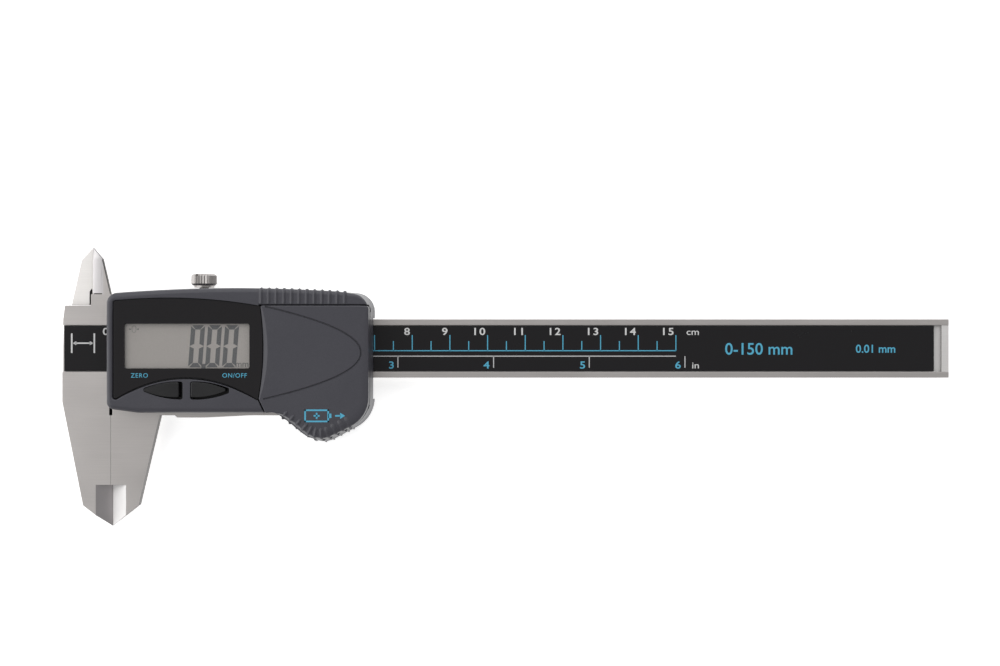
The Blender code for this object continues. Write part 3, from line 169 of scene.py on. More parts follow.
def arc_outline(corners: Sequence[Corner] | Points, steps: int = ARC_STEPS) -> Points:
    """Return a closed outline with a circular arc at each corner.

    The arc at a corner of radius r and half angle a starts r / tan(a) before it. Its points are
    the arc's centre plus the blend of its first and last radius that keeps their length.

    Args:
        corners: x, y and radius of each corner, anticlockwise.
        steps: the number of stretches in an arc.

    Returns:
        The outline's points, one row each.
    """
    data = np.asarray(corners, dtype=float)
    point, radius = data[:, :2], data[:, 2:]
    before = unit(np.roll(point, 1, axis=0) - point)
    after = unit(np.roll(point, -1, axis=0) - point)
    half = np.arccos(np.clip((before * after).sum(axis=1, keepdims=True), -1.0, 1.0)) / 2
    reach = radius / np.maximum(np.tan(half), TINY)
    centre = point + unit(before + after) * radius / np.maximum(np.sin(half), TINY)
    first = (point + before * reach - centre)[:, None, :]
    last = (point + after * reach - centre)[:, None, :]
    turn = (math.pi - 2 * half)[:, None, :]
    share = np.linspace(0.0, 1.0, steps + 1)[None, :, None]
    swept = np.sin((1 - share) * turn) * first + np.sin(share * turn) * last
    outline = (centre[:, None, :] + swept / np.maximum(np.sin(turn), TINY)).reshape(-1, 2)
    gap = np.linalg.norm(outline - np.roll(outline, 1, axis=0), axis=1)
    return outline[gap > MM]


def subdivided(outline: Points, step: float = OUTLINE_STEP) -> Points:
    """Return an outline whose long stretches are split, so that none is longer than step.

    Args:
        outline: a closed outline.
        step: the longest stretch.

    Returns:
        The same outline with points added on its straight stretches.
    """
    stretch = np.roll(outline, -1, axis=0) - outline
    count = np.maximum(np.ceil(np.linalg.norm(stretch, axis=1) / step), 1).astype(int)
    owner = np.repeat(np.arange(len(outline)), count)
    order = np.arange(count.sum()) - np.repeat(np.cumsum(count) - count, count)
    return outline[owner] + stretch[owner] * (order / count[owner])[:, None]


def outward(outline: Points) -> Points:
    """Return the step that moves each point of an anticlockwise outline out by one.

    It is the sum of the unit normals of the two stretches that meet there, over one plus their
    product, which keeps the moved stretches parallel to the old ones.

    Args:
        outline: a closed anticlockwise outline.

    Returns:
        One step for each point.
    """
    edge = unit(np.roll(outline, -1, axis=0) - outline)
    normal = np.stack((edge[:, 1], -edge[:, 0]), axis=1)
    before = np.roll(normal, 1, axis=0)
    return (normal + before) / (1 + (normal * before).sum(axis=1, keepdims=True))


def grown(outline: Points, distance: float) -> Points:
    """Return an outline moved out by a distance."""
    return outline + outward(outline) * distance


def carried(outline: Points, stations: Sequence[Sequence[float]]) -> Points:
    """Return values that change evenly along an outline from station to station.

    Args:
        outline: a closed outline.
        stations: x, y and the values of each station, which sits on the outline's nearest point.

    Returns:
        One row for each value, with a column for each point of the outline.
    """
    data = np.asarray(stations, dtype=float)
    stretch = np.linalg.norm(np.roll(outline, -1, axis=0) - outline, axis=1)
    run = np.cumsum(stretch) - stretch
    nearest = np.linalg.norm(outline[:, None] - data[None, :, :2], axis=2).argmin(axis=0)
    return np.array([np.interp(run, run[nearest], values, period=stretch.sum()) for values in data.T[2:]])


def rectangle(low: Sequence[float], high: Sequence[float], radius: float = 0.0,
              steps: int = ARC_STEPS) -> Points:
    """Return a rectangle's outline with rounded corners, each of so many stretches."""
    corners = ((low[0], low[1]), (high[0], low[1]), (high[0], high[1]), (low[0], high[1]))
    return arc_outline([(x, y, radius) for x, y in corners], steps)


def arch(start: Sequence[float], end: Sequence[float], rise: float, steps: int,
         power: float = 2.0) -> Points:
    """Return points on the line from start to end, raised by rise (1 - |2 t - 1|^power) at share t.

    Args:
        start: the first point.
        end: the last point.
        rise: how far the middle is raised along Y.
        steps: the number of stretches.
        power: what shapes the arch, which is a parabola at 2.

    Returns:
        The points, one row each.
    """
    share = np.linspace(0.0, 1.0, steps + 1)[:, None]
    line = np.asarray(start) + (np.asarray(end) - np.asarray(start)) * share
    return line + np.hstack((0 * share, rise * (1 - np.abs(2 * share - 1) ** power)))


def with_radius(points: Points, first: float = 0.0, last: float = 0.0) -> Points:
    """Return points as corners, sharp apart from the first and the last one.

    Args:
        points: one row each.
        first: the first corner's radius.
        last: the last corner's radius.

    Returns:
        x, y and radius of each corner.
    """
    radius = np.zeros((len(points), 1))
    radius[0] = first
    radius[-1] = last
    return np.hstack((points, radius))


def solid(name: str, points: Points, faces: list[list[int]]) -> Object:
    """Return an object at the origin whose closed mesh holds points on the drawing axes.

    Args:
        name: the piece's name.
        points: one row for each vertex, in millimetres.
        faces: the vertices of each face.

    Returns:
        The new object, with its faces turned outwards.
    """
    mesh = bpy.data.meshes.new(name)
    mesh.from_pydata((np.asarray(points) + DATUM) * MM, [], faces)
    shape = bmesh.new()
    shape.from_mesh(mesh)
    bmesh.ops.recalc_face_normals(shape, faces=shape.faces)
    shape.to_mesh(mesh)
    shape.free()
    piece = bpy.data.objects.new(name, mesh)
    bpy.context.scene.collection.objects.link(piece)
    return piece


def loft(name: str, rings: Points) -> Object:
    """Return a closed solid over rings of equally many points, with a flat face at either end.

    Args:
        name: the piece's name.
        rings: rows of rings, columns of points round each ring, and their coordinates.

    Returns:
        The new object.
    """
    rows, columns = rings.shape[:2]
    index = np.arange(rows * columns).reshape(rows, columns)
    after = np.roll(index, -1, axis=1)
    sides = np.stack((index[:-1], after[:-1], after[1:], index[1:]), axis=-1).reshape(-1, 4)
    ends = [index[0, ::-1].tolist(), index[-1].tolist()]
    return solid(name, rings.reshape(-1, 3), sides.tolist() + ends)


def plate(name: str, outline: Points, rings: Sequence[Ring]) -> Object:
    """Return a flat solid: an edge profile carried round an outline.

    A ring is the outline moved in by the profile's inset and raised to its height. Both may
    change from point to point of the outline.

    Args:
        name: the piece's name.
        outline: a closed anticlockwise outline.
        rings: inset and height of each ring, from the lower face to the upper one.

    Returns:
        The new object.
    """
    step = outward(outline)
    layers = []
    for inset, height in rings:
        flat = outline - step * np.reshape(inset, (-1, 1))
        layers.append(np.column_stack((flat, np.broadcast_to(height, len(outline)))))
    return loft(name, np.array(layers))


def round_edge(width: float | Points, drop: float | Points, top: float) -> list[Ring]:
    """Return a profile's quarter round: inset w (1 - cos a) at height top - d (1 - sin a).

    Args:
        width: how far the round reaches in; less than zero flares a cutter out instead.
        drop: how far it reaches down.
        top: the height of the face that it ends on.

    Returns:
        The rings from the wall to that face.
    """
    angles = np.linspace(0.0, math.pi / 2, EDGE_STEPS + 1)
    return [(width * (1 - math.cos(a)), top - drop * (1 - math.sin(a))) for a in angles]


def block(low: Sequence[float], high: Sequence[float]) -> Object:
    """Return a plain block between two corners, as a tool for cutting or joining."""
    return plate("block", rectangle(low, high), [(0.0, low[2]), (0.0, high[2])])


def flared(outline: Points, low: float, top: float, flare: float | Points) -> Object:
    """Return a cutter whose pocket has a rounded rim.

    Args:
        outline: the pocket's outline.
        low: the height of its floor.
        top: the height of the face that it is cut into.
        flare: the radius of its rim.

    Returns:
        The cutter.
    """
    rings = [(0.0, low), *round_edge(-flare, flare, top), (-flare, top + OVERRUN)]
    return plate("cutter", outline, rings)


def turned(name: str, profile: Sequence[tuple[float, float]] | Points, centre: Sequence[float],
           pose: Pose = Pose.FRONT, sides: int = ROUND_SIDES, teeth: int = 0,
           depth: float = 0.0) -> Object:
    """Return a solid of revolution, whose widest rings may carry straight knurling.

    A point at angle t on a ring of radius r and height h is centre + r cos t e1 + r sin t e2 +
    h e3. Knurling takes depth times a triangle wave of t off the rings of the largest radius.

    Args:
        name: the piece's name.
        profile: radius and height of each ring.
        centre: where the axis passes at height zero.
        pose: the axes e1, e2 and e3.
        sides: points round a ring.
        teeth: the number of knurls.
        depth: the depth of a knurl.

    Returns:
        The new object.
    """
    across, over, along = np.array(pose.value, dtype=float)
    data = np.asarray(profile, dtype=float)
    angle = np.linspace(0.0, 2 * math.pi, sides, endpoint=False)
    wave = np.abs((teeth * angle / math.pi) % 2 - 1)
    widest = data[:, :1] > data[:, 0].max() - TINY
    radius = data[:, :1] - np.where(widest, depth * wave, 0.0)
    rings = (np.asarray(centre, dtype=float) + data[:, 1, None, None] * along
             + (radius * np.cos(angle))[..., None] * across
             + (radius * np.sin(angle))[..., None] * over)
    return loft(name, rings)


def sweep(name: str, path: Points, across: Points, section: Points,
          taper: float | Points = 1.0) -> Object:
    """Return a section carried along a path that lies in one plane.

    A ring's point is the path's point plus section height times the in-plane normal plus section
    width times the plane's own normal, both times the taper there.

    Args:
        name: the piece's name.
        path: points in order, one row each.
        across: the unit normal of the path's plane.
        section: height and width of each point of the closed section.
        taper: the section's size along the path.

    Returns:
        The new object.
    """
    along = unit(np.gradient(path, axis=0))
    normal = np.cross(across, along)
    size = np.broadcast_to(taper, len(path))[:, None, None]
    rings = path[:, None, :] + size * (section[None, :, :1] * normal[:, None, :]
                                       + section[None, :, 1:] * np.asarray(across)[None, None, :])
    return loft(name, rings)


def ridge(height: float, width: float) -> Points:
    """Return the closed section of a rib: a roof of that height and half width, sunk at its foot."""
    return RIDGE_SHAPE * (height, width)


def combine(piece: Object, tools: Sequence[Object], operation: Operation) -> None:
    """Cut tools from a piece or join them to it, and delete them.

    Args:
        piece: the object that is changed.
        tools: closed solids.
        operation: what is done with them.
    """
    for tool in tools:
        modifier = piece.modifiers.new(operation.name, "BOOLEAN")
        modifier.operation = operation.value
        modifier.solver = "EXACT"
        modifier.object = tool
    graph = bpy.context.evaluated_depsgraph_get()
    mesh = bpy.data.meshes.new_from_object(piece.evaluated_get(graph))
    piece.modifiers.clear()
    old = [piece.data, *(tool.data for tool in tools)]
    piece.data = mesh
    mesh.name = piece.name
    for tool in tools:
        bpy.data.objects.remove(tool)
    for data in old:
        bpy.data.meshes.remove(data)


def cut(piece: Object, *tools: Object) -> None:
    """Cut solids out of a piece."""
    combine(piece, tools, Operation.CUT)


def join(piece: Object, *tools: Object) -> None:
    """Join solids to a piece."""
    combine(piece, tools, Operation.JOIN)


def machined_copy(name: str, node: str, bevel: float, additions: Sequence[Object] = (),
                  removals: Sequence[Object] = (),
                  splits: Sequence[float] = ()) -> Object:
    """Return a copy of a node, merged to whole faces, with its edges broken by a small bevel.

    Args:
        name: the piece's name.
        node: the node that is copied.
        bevel: the width of the bevel.
        additions: solids that are joined to it.
        removals: solids that are cut out of it.
        splits: the places along X at which its faces are split, so that each side can be dressed.

    Returns:
        The new object.
    """
    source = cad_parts[node].data
    places = np.empty(len(source.vertices) * 3, dtype=np.float32)
    source.vertices.foreach_get("co", places)
    corners = np.empty(len(source.loops), dtype=np.int32)
    source.loops.foreach_get("vertex_index", corners)
    steps = np.round(places.reshape(-1, 3).astype(float) / WELD)
    merged, index = np.unique(steps, axis=0, return_inverse=True)
    triangles = index.reshape(-1)[corners].reshape(-1, 3)
    piece = solid(name, merged * WELD / MM - DATUM, triangles.tolist())
    if additions:
        join(piece, *additions)
    if removals:
        cut(piece, *removals)
    shape = bmesh.new()
    shape.from_mesh(piece.data)
    bmesh.ops.remove_doubles(shape, verts=shape.verts, dist=SLIVER)
    bmesh.ops.dissolve_limit(shape, angle_limit=FLAT_ANGLE, verts=shape.verts, edges=shape.edges)
    for place in splits:
        parts = [*shape.verts, *shape.edges, *shape.faces]
        bmesh.ops.bisect_plane(shape, geom=parts, plane_co=((place + DATUM[0]) * MM, 0.0, 0.0),
                               plane_no=(1.0, 0.0, 0.0))
    shape.to_mesh(piece.data)
    shape.free()
    modifier = piece.modifiers.new("broken_edges", "BEVEL")
    modifier.width = bevel * MM
    modifier.segments = 2
    modifier.limit_method = "ANGLE"
    modifier.angle_limit = CREASE
    modifier.use_clamp_overlap = False
    return piece


class Graph:
    """A node tree that nodes are added to and linked in."""

    def __init__(self, tree: bpy.types.NodeTree) -> None:
        """Keep the tree."""
        self.tree = tree

    def add(self, kind: str, values: dict[str, object] | None = None,
            **settings: object) -> bpy.types.Node:
        """Add a node.

        Args:
            kind: the node's type.
            values: a number, a colour or another node's socket for each named input.
            settings: the node's own properties.

        Returns:
            The new node.
        """
        node = self.tree.nodes.new(kind)
        for name, setting in settings.items():
            setattr(node, name, setting)
        for name, value in (values or {}).items():
            self.set(node.inputs[name], value)
        return node

    def set(self, socket: Socket, value: object) -> None:
        """Link a socket to a socket, or give it a value.

        Args:
            socket: the input.
            value: an output's socket, a number or a colour.
        """
        if isinstance(value, Socket):
            self.tree.links.new(value, socket)
        else:
            socket.default_value = value

    def spread(self, value: Socket, middle: float, share: float) -> Socket:
        """Return a pattern's values moved to the range of share to either side of a middle.

        Args:
            value: the pattern.
            middle: the middle of the new range.
            share: how far it reaches to either side.

        Returns:
            The socket of the moved values.
        """
        node = self.add("ShaderNodeMapRange", {
            "Value": value, "From Min": PATTERN_RANGE[0], "From Max": PATTERN_RANGE[1],
            "To Min": middle - share, "To Max": middle + share})
        return node.outputs["Result"]

    def shade(self, value: Socket, colour: Colour, share: float) -> Socket:
        """Return a colour that a pattern darkens and lightens by a share.

        Args:
            value: the pattern.
            colour: the colour in its middle.
            share: how much darker and lighter it gets.

        Returns:
            The socket of the varied colour.
        """
        node = self.add("ShaderNodeValToRGB", {"Fac": value})
        for element, place, factor in zip(node.color_ramp.elements, PATTERN_RANGE, (1 - share, 1 + share)):
            element.position = place
            element.color = (*(min(part * factor, 1.0) for part in colour), 1.0)
        return node.outputs["Color"]

    def noise(self, place: Socket, scale: object, detail: float) -> Socket:
        """Return the socket of noise at a place, of that scale and detail."""
        values = {"Vector": place, "Scale": scale, "Detail": detail}
        return self.add("ShaderNodeTexNoise", values).outputs["Fac"]


def pattern_group(name: str, scales: Sequence[str]) -> tuple[Graph, bpy.types.Node, bpy.types.Node]:
    """Start a node group that turns a place on the surface into a fine and a broad pattern.

    Args:
        name: the group's name.
        scales: names of its number inputs.

    Returns:
        The group's graph, its input node and its output node.
    """
    tree = bpy.data.node_groups.new(name, "ShaderNodeTree")
    tree.interface.new_socket("Vector", in_out="INPUT", socket_type="NodeSocketVector")
    for scale in scales:
        tree.interface.new_socket(scale, in_out="INPUT", socket_type="NodeSocketFloat")
    for output in ("Fine", "Broad"):
        tree.interface.new_socket(output, in_out="OUTPUT", socket_type="NodeSocketFloat")
    graph = Graph(tree)
    return graph, graph.add("NodeGroupInput"), graph.add("NodeGroupOutput")


def grain_group() -> bpy.types.NodeTree:
    """Return the group of moulded grain: noise at the grain's scale, and clouds much wider.

    Returns:
        The group's tree, made once.
    """
    name = "moulded_grain"
    if name in bpy.data.node_groups:
        return bpy.data.node_groups[name]
    graph, given, result = pattern_group(name, ("Grain", "Cloud"))
    for output, scale, detail in (("Fine", "Grain", GRAIN_DETAIL), ("Broad", "Cloud", CLOUD_DETAIL)):
        noise = graph.noise(given.outputs["Vector"], given.outputs[scale], detail)
        graph.set(result.inputs[output], noise)
    return graph.tree


def brush_group() -> bpy.types.NodeTree:
    """Return the group of brushed lines: noise drawn out along X, and clouds drawn out less.

    Returns:
        The group's tree, made once.
    """
    name = "brushed_lines"
    if name in bpy.data.node_groups:
        return bpy.data.node_groups[name]
    graph, given, result = pattern_group(name, ("Along", "Across", "Cloud"))
    for output, across, detail in (("Fine", "Across", LINE_DETAIL), ("Broad", "Cloud", CLOUD_DETAIL)):
        scale = graph.add("ShaderNodeCombineXYZ", {
            "X": given.outputs["Along"], "Y": given.outputs[across], "Z": given.outputs[across]})
        place = graph.add("ShaderNodeVectorMath", operation="MULTIPLY")
        graph.set(place.inputs[0], given.outputs["Vector"])
        graph.set(place.inputs[1], scale.outputs["Vector"])
        graph.set(result.inputs[output], graph.noise(place.outputs["Vector"], 1.0, detail))
    return graph.tree


def trace_group() -> bpy.types.NodeTree:
    """Return the group of circuit traces: rows of long bricks, whose joints are the traces.

    Returns:
        The group's tree, made once.
    """
    name = "circuit_traces"
    if name in bpy.data.node_groups:
        return bpy.data.node_groups[name]
    graph, given, result = pattern_group(name, ("Trace", "Cloud"))
    white, black = (1.0, 1.0, 1.0, 1.0), (0.0, 0.0, 0.0, 1.0)
    bricks = graph.add("ShaderNodeTexBrick", {
        "Vector": given.outputs["Vector"], "Scale": given.outputs["Trace"], "Color1": black,
        "Color2": black, "Mortar": white, "Mortar Size": TRACE_WIDTH, "Brick Width": TRACE_LENGTH,
        "Row Height": TRACE_ROW})
    noise = graph.noise(given.outputs["Vector"], given.outputs["Cloud"], BOARD_DETAIL)
    graph.set(result.inputs["Fine"], bricks.outputs["Color"])
    graph.set(result.inputs["Broad"], noise)
    return graph.tree


@dataclass(frozen=True)
class Finish:
    """A finish: colour and gloss that vary over the surface, with a grain that is felt as relief.

    The grain and cloud sizes and the relief's height are in millimetres.
    """

    name: str
    colour: Colour
    roughness: float
    metallic: float = 0.0
    ior: float = 1.45
    colour_spread: float = 0.08
    gloss_spread: float = 0.06
    grain: float = 0.3
    cloud: float = 9.0
    relief: float = 0.006
    alpha: float = 1.0

    def pattern(self, graph: Graph, place: Socket) -> bpy.types.Node:
        """Return the group node that gives this finish's fine and broad pattern."""
        scales = {"Grain": 1 / (self.grain * MM), "Cloud": 1 / (self.cloud * MM)}
        return graph.add("ShaderNodeGroup", {"Vector": place, **scales}, node_tree=grain_group())

    def material(self) -> bpy.types.Material:
        """Return the material of this finish, made once.

        Returns:
            A material with a Principled shader, whose colour and bump follow the fine pattern and
            whose roughness follows the broad one.
        """
        made = bpy.data.materials.get(self.name)
        if made:
            return made
        material = bpy.data.materials.new(self.name)
        material.use_nodes = True
        graph = Graph(material.node_tree)
        shader = material.node_tree.nodes["Principled BSDF"]
        place = graph.add("ShaderNodeTexCoord").outputs["Object"]
        pattern = self.pattern(graph, place)
        fine, broad = pattern.outputs["Fine"], pattern.outputs["Broad"]
        graph.set(shader.inputs["Base Color"], graph.shade(fine, self.colour, self.colour_spread))
        graph.set(shader.inputs["Roughness"], graph.spread(broad, self.roughness, self.gloss_spread))
        bump = graph.add("ShaderNodeBump", {"Height": fine, "Distance": self.relief * MM})
        graph.set(shader.inputs["Normal"], bump.outputs["Normal"])
        shader.inputs["Metallic"].default_value = self.metallic
        shader.inputs["IOR"].default_value = self.ior
        shader.inputs["Alpha"].default_value = self.alpha
        return material


@dataclass(frozen=True)
class Brushed(Finish):
    """Ground and brushed metal: fine lines one way, of that length and spacing."""

    metallic: float = 1.0
    line_length: float = 14.0
    line_width: float = 0.09
    brushing: Brushing = Brushing.LENGTHWAYS

    def pattern(self, graph: Graph, place: Socket) -> bpy.types.Node:
        """Return the group node of brushed lines, turned to the way of the brushing.

        Args:
            graph: the material's graph.
            place: the place on the surface.

        Returns:
            The group node.
        """
        turn = graph.add("ShaderNodeMapping", {"Vector": place, "Rotation": (0.0, 0.0, self.brushing.value)})
        return graph.add("ShaderNodeGroup", {
            "Vector": turn.outputs["Vector"], "Along": 1 / (self.line_length * MM),
            "Across": 1 / (self.line_width * MM), "Cloud": 1 / (self.cloud * MM)}, node_tree=brush_group())


@dataclass(frozen=True)
class Traced(Finish):
    """A circuit board, with traces of that spacing."""

    spacing: float = 1.6

    def pattern(self, graph: Graph, place: Socket) -> bpy.types.Node:
        """Return the group node of circuit traces."""
        scales = {"Trace": 1 / (self.spacing * MM), "Cloud": 1 / (self.cloud * MM)}
        return graph.add("ShaderNodeGroup", {"Vector": place, **scales}, node_tree=trace_group())


GROUND_STEEL = Brushed("ground_steel", (0.65, 0.618, 0.60), 0.33, colour_spread=0.05, gloss_spread=0.04,
                       relief=0.0009)
# Painted shade: dark steel on upright walls, chamfers, bands and slits, where the steel mirrors shade.
SHADED_EDGE_STEEL = Brushed("edge_steel", (0.14, 0.135, 0.13), 0.45, relief=0.002)
# Painted shade: near-black steel in the clearances at the jaws' roots, on floors that close them where there
# is only shade.
RECESS_SHADE_STEEL = Brushed("recess_steel", (0.02, 0.019, 0.018), 0.6, relief=0.002)
# Matt steel whose pale colour paints in the sheen on the face of the moving inside blade.
MATT_SHEEN_STEEL = Brushed("matt_steel", (0.90, 0.878, 0.857), 0.62, colour_spread=0.03, relief=0.0006)
SATIN_STEEL = Brushed("satin_steel", (0.765, 0.75, 0.74), 0.62, colour_spread=0.03, relief=0.0006)
HONED_STEEL = Brushed("honed_steel", (0.635, 0.615, 0.62), 0.45, colour_spread=0.03, relief=0.0006,
                      brushing=Brushing.CROSSWAYS)
# Painted shade: the fixed jaw's knife facets, the same steel as the moving jaw's but darker, as they face
# away from the main lamp.
SHADED_FACET_STEEL = Brushed("lapped_steel", (0.445, 0.423, 0.428), 0.34, colour_spread=0.05, relief=0.0009)
# Painted light: the moving jaw's knife facets, the same steel, pale and partly dull so that they come out
# evenly bright where the main lamp falls.
LIT_FACET_STEEL = Brushed("white_steel", (0.95, 0.935, 0.925), 0.62, metallic=0.3, colour_spread=0.03,
                      relief=0.0006)
BRIGHT_STEEL = Brushed("bright_steel", (0.70, 0.68, 0.66), 0.24, colour_spread=0.05, line_length=3.0,
                       relief=0.0006)
KNURLED_STEEL = Brushed("knurled_steel", (0.43, 0.41, 0.40), 0.28, line_length=3.0, relief=0.0006)
BRASS = Brushed("satin_brass", (0.66, 0.48, 0.20), 0.34, line_length=4.0, relief=0.001)
PLASTIC = Finish("moulded_plastic", (0.0540, 0.0534, 0.0650), 0.37, ior=1.47, relief=0.008)
GLOSS_PANEL = Finish("polished_panel", (0.0115, 0.0105, 0.0118), 0.10, ior=1.40, gloss_spread=0.03,
                     relief=0.0002, cloud=14.0)
KEY_PLASTIC = Finish("key_plastic", (0.010, 0.010, 0.011), 0.36, grain=0.2, relief=0.004)
SCALE_FOIL = Finish("scale_foil", (0.0095, 0.0088, 0.0100), 0.26, ior=1.36, gloss_spread=0.02, grain=0.15,
                    relief=0.0003)
CLEAR_PANE = Finish("clear_pane", (0.5, 0.5, 0.5), 0.08, gloss_spread=0.02, relief=0.0001, alpha=0.05)
DISPLAY = Finish("display_glass", (0.346, 0.324, 0.305), 0.22, colour_spread=0.03, grain=0.5, relief=0.0004)
SEGMENT = Finish("display_segments", (0.078, 0.080, 0.084), 0.3, colour_spread=0.05, relief=0.0004)
FAINT_SEGMENT = Finish("display_faint_segments", (0.115, 0.115, 0.113), 0.3, relief=0.0004)
WHITE_INK = Finish("white_ink", (0.64, 0.64, 0.64), 0.45, grain=0.12, relief=0.001)
GREY_INK = Finish("grey_ink", (0.52, 0.52, 0.53), 0.45, grain=0.12, relief=0.001)
CYAN_INK = Finish("cyan_ink", (0.085, 0.40, 0.58), 0.45, grain=0.12, relief=0.001)
RUBBER = Finish("black_rubber", (0.025, 0.025, 0.027), 0.75, grain=0.25, relief=0.012)
CHIP = Finish("chip_package", (0.012, 0.012, 0.012), 0.5, grain=0.1)
FELT = Finish("grey_felt", (0.035, 0.035, 0.033), 0.92, colour_spread=0.3, grain=0.18, relief=0.05)
BOARD = Traced("circuit_board", (0.02, 0.13, 0.06), 0.4, colour_spread=0.45, relief=0.03)


def settle(piece: Object, body: Body, slot: Slot, finish: Finish, *nodes: str) -> Object:
    """Finish a piece: smooth its faces, dress it and fix it to the body that carries it.

    Args:
        piece: the piece's object.
        body: the body that it rides on.
        slot: the material slot that it stands for; not used.
        finish: its finish.
        nodes: the nodes that it stands for.

    Returns:
        The piece.
    """
    piece.data.materials.clear()
    piece.data.materials.append(finish.material())
    piece.data.shade_smooth()
    if not piece.modifiers:
        piece.data.set_sharp_from_angle(angle=CREASE)
    piece.modifiers.new("even_normals", "WEIGHTED_NORMAL").keep_sharp = True
    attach(piece, body.value)
    if nodes:
        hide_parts(*nodes)
    LOG.info("%s rides on %s", piece.name, body.value)
    return piece


def paint(piece: Object, finish: Finish, rise: tuple[float, float],
          low: Sequence[float] = (-np.inf,) * 3, high: Sequence[float] = (np.inf,) * 3) -> None:
    """Give some faces of a settled piece a finish of their own, or a colour that paints in shade or light.

    Args:
        piece: the piece's object.
        finish: the finish of those faces.
        rise: the range of the upward part of their normals.
        low: the lowest corner of the box that their middles are in.
        high: its highest corner.
    """
    mesh = piece.data
    middles, normals = np.empty((2, len(mesh.polygons), 3), dtype=np.float32)
    mesh.polygons.foreach_get("center", middles.reshape(-1))
    mesh.polygons.foreach_get("normal", normals.reshape(-1))
    places = middles / MM - DATUM
    chosen = ((places > low) & (places < high)).all(axis=1)
    chosen &= (normals[:, 2] > rise[0]) & (normals[:, 2] < rise[1])
    index = np.empty(len(mesh.polygons), dtype=np.int32)
    mesh.polygons.foreach_get("material_index", index)
    index[chosen] = len(mesh.materials)
    mesh.materials.append(finish.material())
    mesh.polygons.foreach_set("material_index", index)


class Print:
    """Flat printing: bars, outlines and lettering of one thin layer, gathered into one mesh."""

    def __init__(self, level: float, thickness: float = 0.02) -> None:
        """Start an empty print.

        Args:
            level: the height of its lower face.
            thickness: the thickness of the ink.
        """
        self.level = level
        self.thickness = thickness
        self.points: list[Points] = []
        self.faces: list[list[int]] = []

    def add(self, points: Points, faces: Points | list[list[int]]) -> None:
        """Add a shape, counting its faces on from the last one's points.

        Args:
            points: one row for each of its vertices.
            faces: the vertices of each of its faces, counted from zero.
        """
        start = sum(len(part) for part in self.points)
        self.points.append(points)
        self.faces.extend([[start + number for number in face] for face in faces])

    def shapes(self, outlines: Points) -> None:
        """Add prisms over outlines of equally many points.

        Args:
            outlines: rows of outlines, columns of points, and their x and y.
        """
        count, corners = outlines.shape[:2]
        low = np.concatenate((outlines, np.full((count, corners, 1), self.level)), axis=2)
        high = low + (0.0, 0.0, self.thickness)
        points = np.concatenate((low, high), axis=1).reshape(-1, 3)
        base = np.arange(count)[:, None] * 2 * corners
        ring = np.arange(corners)
        after = np.roll(ring, -1)
        sides = np.stack((ring, after, after + corners, ring + corners), axis=1)
        sides = (base[:, :, None] + sides[None]).reshape(-1, 4)
        self.add(points, [*(base + ring[::-1]).tolist(), *(base + ring + corners).tolist(), *sides.tolist()])

    def bars(self, starts: Points, ends: Points, width: float) -> None:
        """Add straight lines, each from a row of starts to the same row of ends.

        Args:
            starts: where each line starts.
            ends: where each line ends.
            width: the width of the lines.
        """
        along = unit(ends - starts)
        side = np.stack((-along[:, 1], along[:, 0]), axis=1) * width / 2
        self.shapes(np.stack((starts - side, ends - side, ends + side, starts + side), axis=1))

    def letters(self, text: str, height: float, place: tuple[float, float], justify: Justify,
                weight: float = 0.0, stretch: float = 1.0, spacing: float = 1.0) -> None:
        """Add a line of the built-in lettering.

        Args:
            text: the words.
            height: the height of a capital.
            place: x of the justified end, and y of the base line.
            justify: the end that sits on x.
            weight: how far the strokes are thickened to either side.
            stretch: the lettering's width against the built-in one.
            spacing: the letters' distance against the built-in one.
        """
        curve = bpy.data.curves.new("lettering", "FONT")
        curve.body = text
        curve.size = height / CAPITAL_SHARE
        curve.offset = weight
        curve.space_character = spacing
        curve.extrude = self.thickness / 2
        curve.resolution_u = LETTER_STEPS
        holder = bpy.data.objects.new("lettering", curve)
        bpy.context.scene.collection.objects.link(holder)
        graph = bpy.context.evaluated_depsgraph_get()
        mesh = bpy.data.meshes.new_from_object(holder.evaluated_get(graph))
        shape = bmesh.new()
        shape.from_mesh(mesh)
        bmesh.ops.remove_doubles(shape, verts=shape.verts, dist=MM * height)
        shape.to_mesh(mesh)
        shape.free()
        points = np.empty(len(mesh.vertices) * 3, dtype=np.float32)
        mesh.vertices.foreach_get("co", points)
        points = points.reshape(-1, 3).astype(float) * (stretch, 1.0, 1.0)
        low, high = points[:, 0].min(), points[:, 0].max()
        points += (place[0] - low - justify.value * (high - low), place[1], self.level + self.thickness / 2)
        self.add(points, [list(face.vertices) for face in mesh.polygons])
        bpy.data.objects.remove(holder)
        bpy.data.curves.remove(curve)
        bpy.data.meshes.remove(mesh)

    def build(self, name: str) -> Object:
        """Return the gathered print as one piece."""
        return solid(name, np.concatenate(self.points), self.faces)


@dataclass(frozen=True)
class BayEdge:
    """The bowed joint between display and battery cover, at x = crest - bow (y - middle)^2."""

    crest: float = 41.6
    bow: float = 0.0065
    middle: float = 0.5
    foot: float = -13.1
    foot_run: float = 1.7

    def at(self, y: float | Points) -> float | Points:
        """Return x on the joint at y."""
        return self.crest - self.bow * (np.asarray(y) - self.middle) ** 2

    def points(self, low: float, high: float, shift: float, steps: int = 20) -> Points:
        """Return points up the joint from low to high, shifted along X."""
        y = np.linspace(low, high, steps + 1)
        return np.stack((self.at(y) + shift, y), axis=1)


@dataclass(frozen=True)
class ThumbRest:
    """The thumb rest at the lower right: root, lowest corner and heel of the casing and the cover."""

    start: float = 41.7
    level: float = -16.7
    casing: tuple[Corner, ...] = ((44.3, -16.7, 5.0), (55.7, -25.96, 6.0), (69.9, -18.43, 9.0))
    cover: tuple[Corner, ...] = ((45.0, -16.7, 4.6), (55.15, -25.0, 7.0), (69.2, -18.1, 8.6))
    lowest: float = -26.0


BAY_EDGE = BayEdge()
THUMB_REST = ThumbRest()


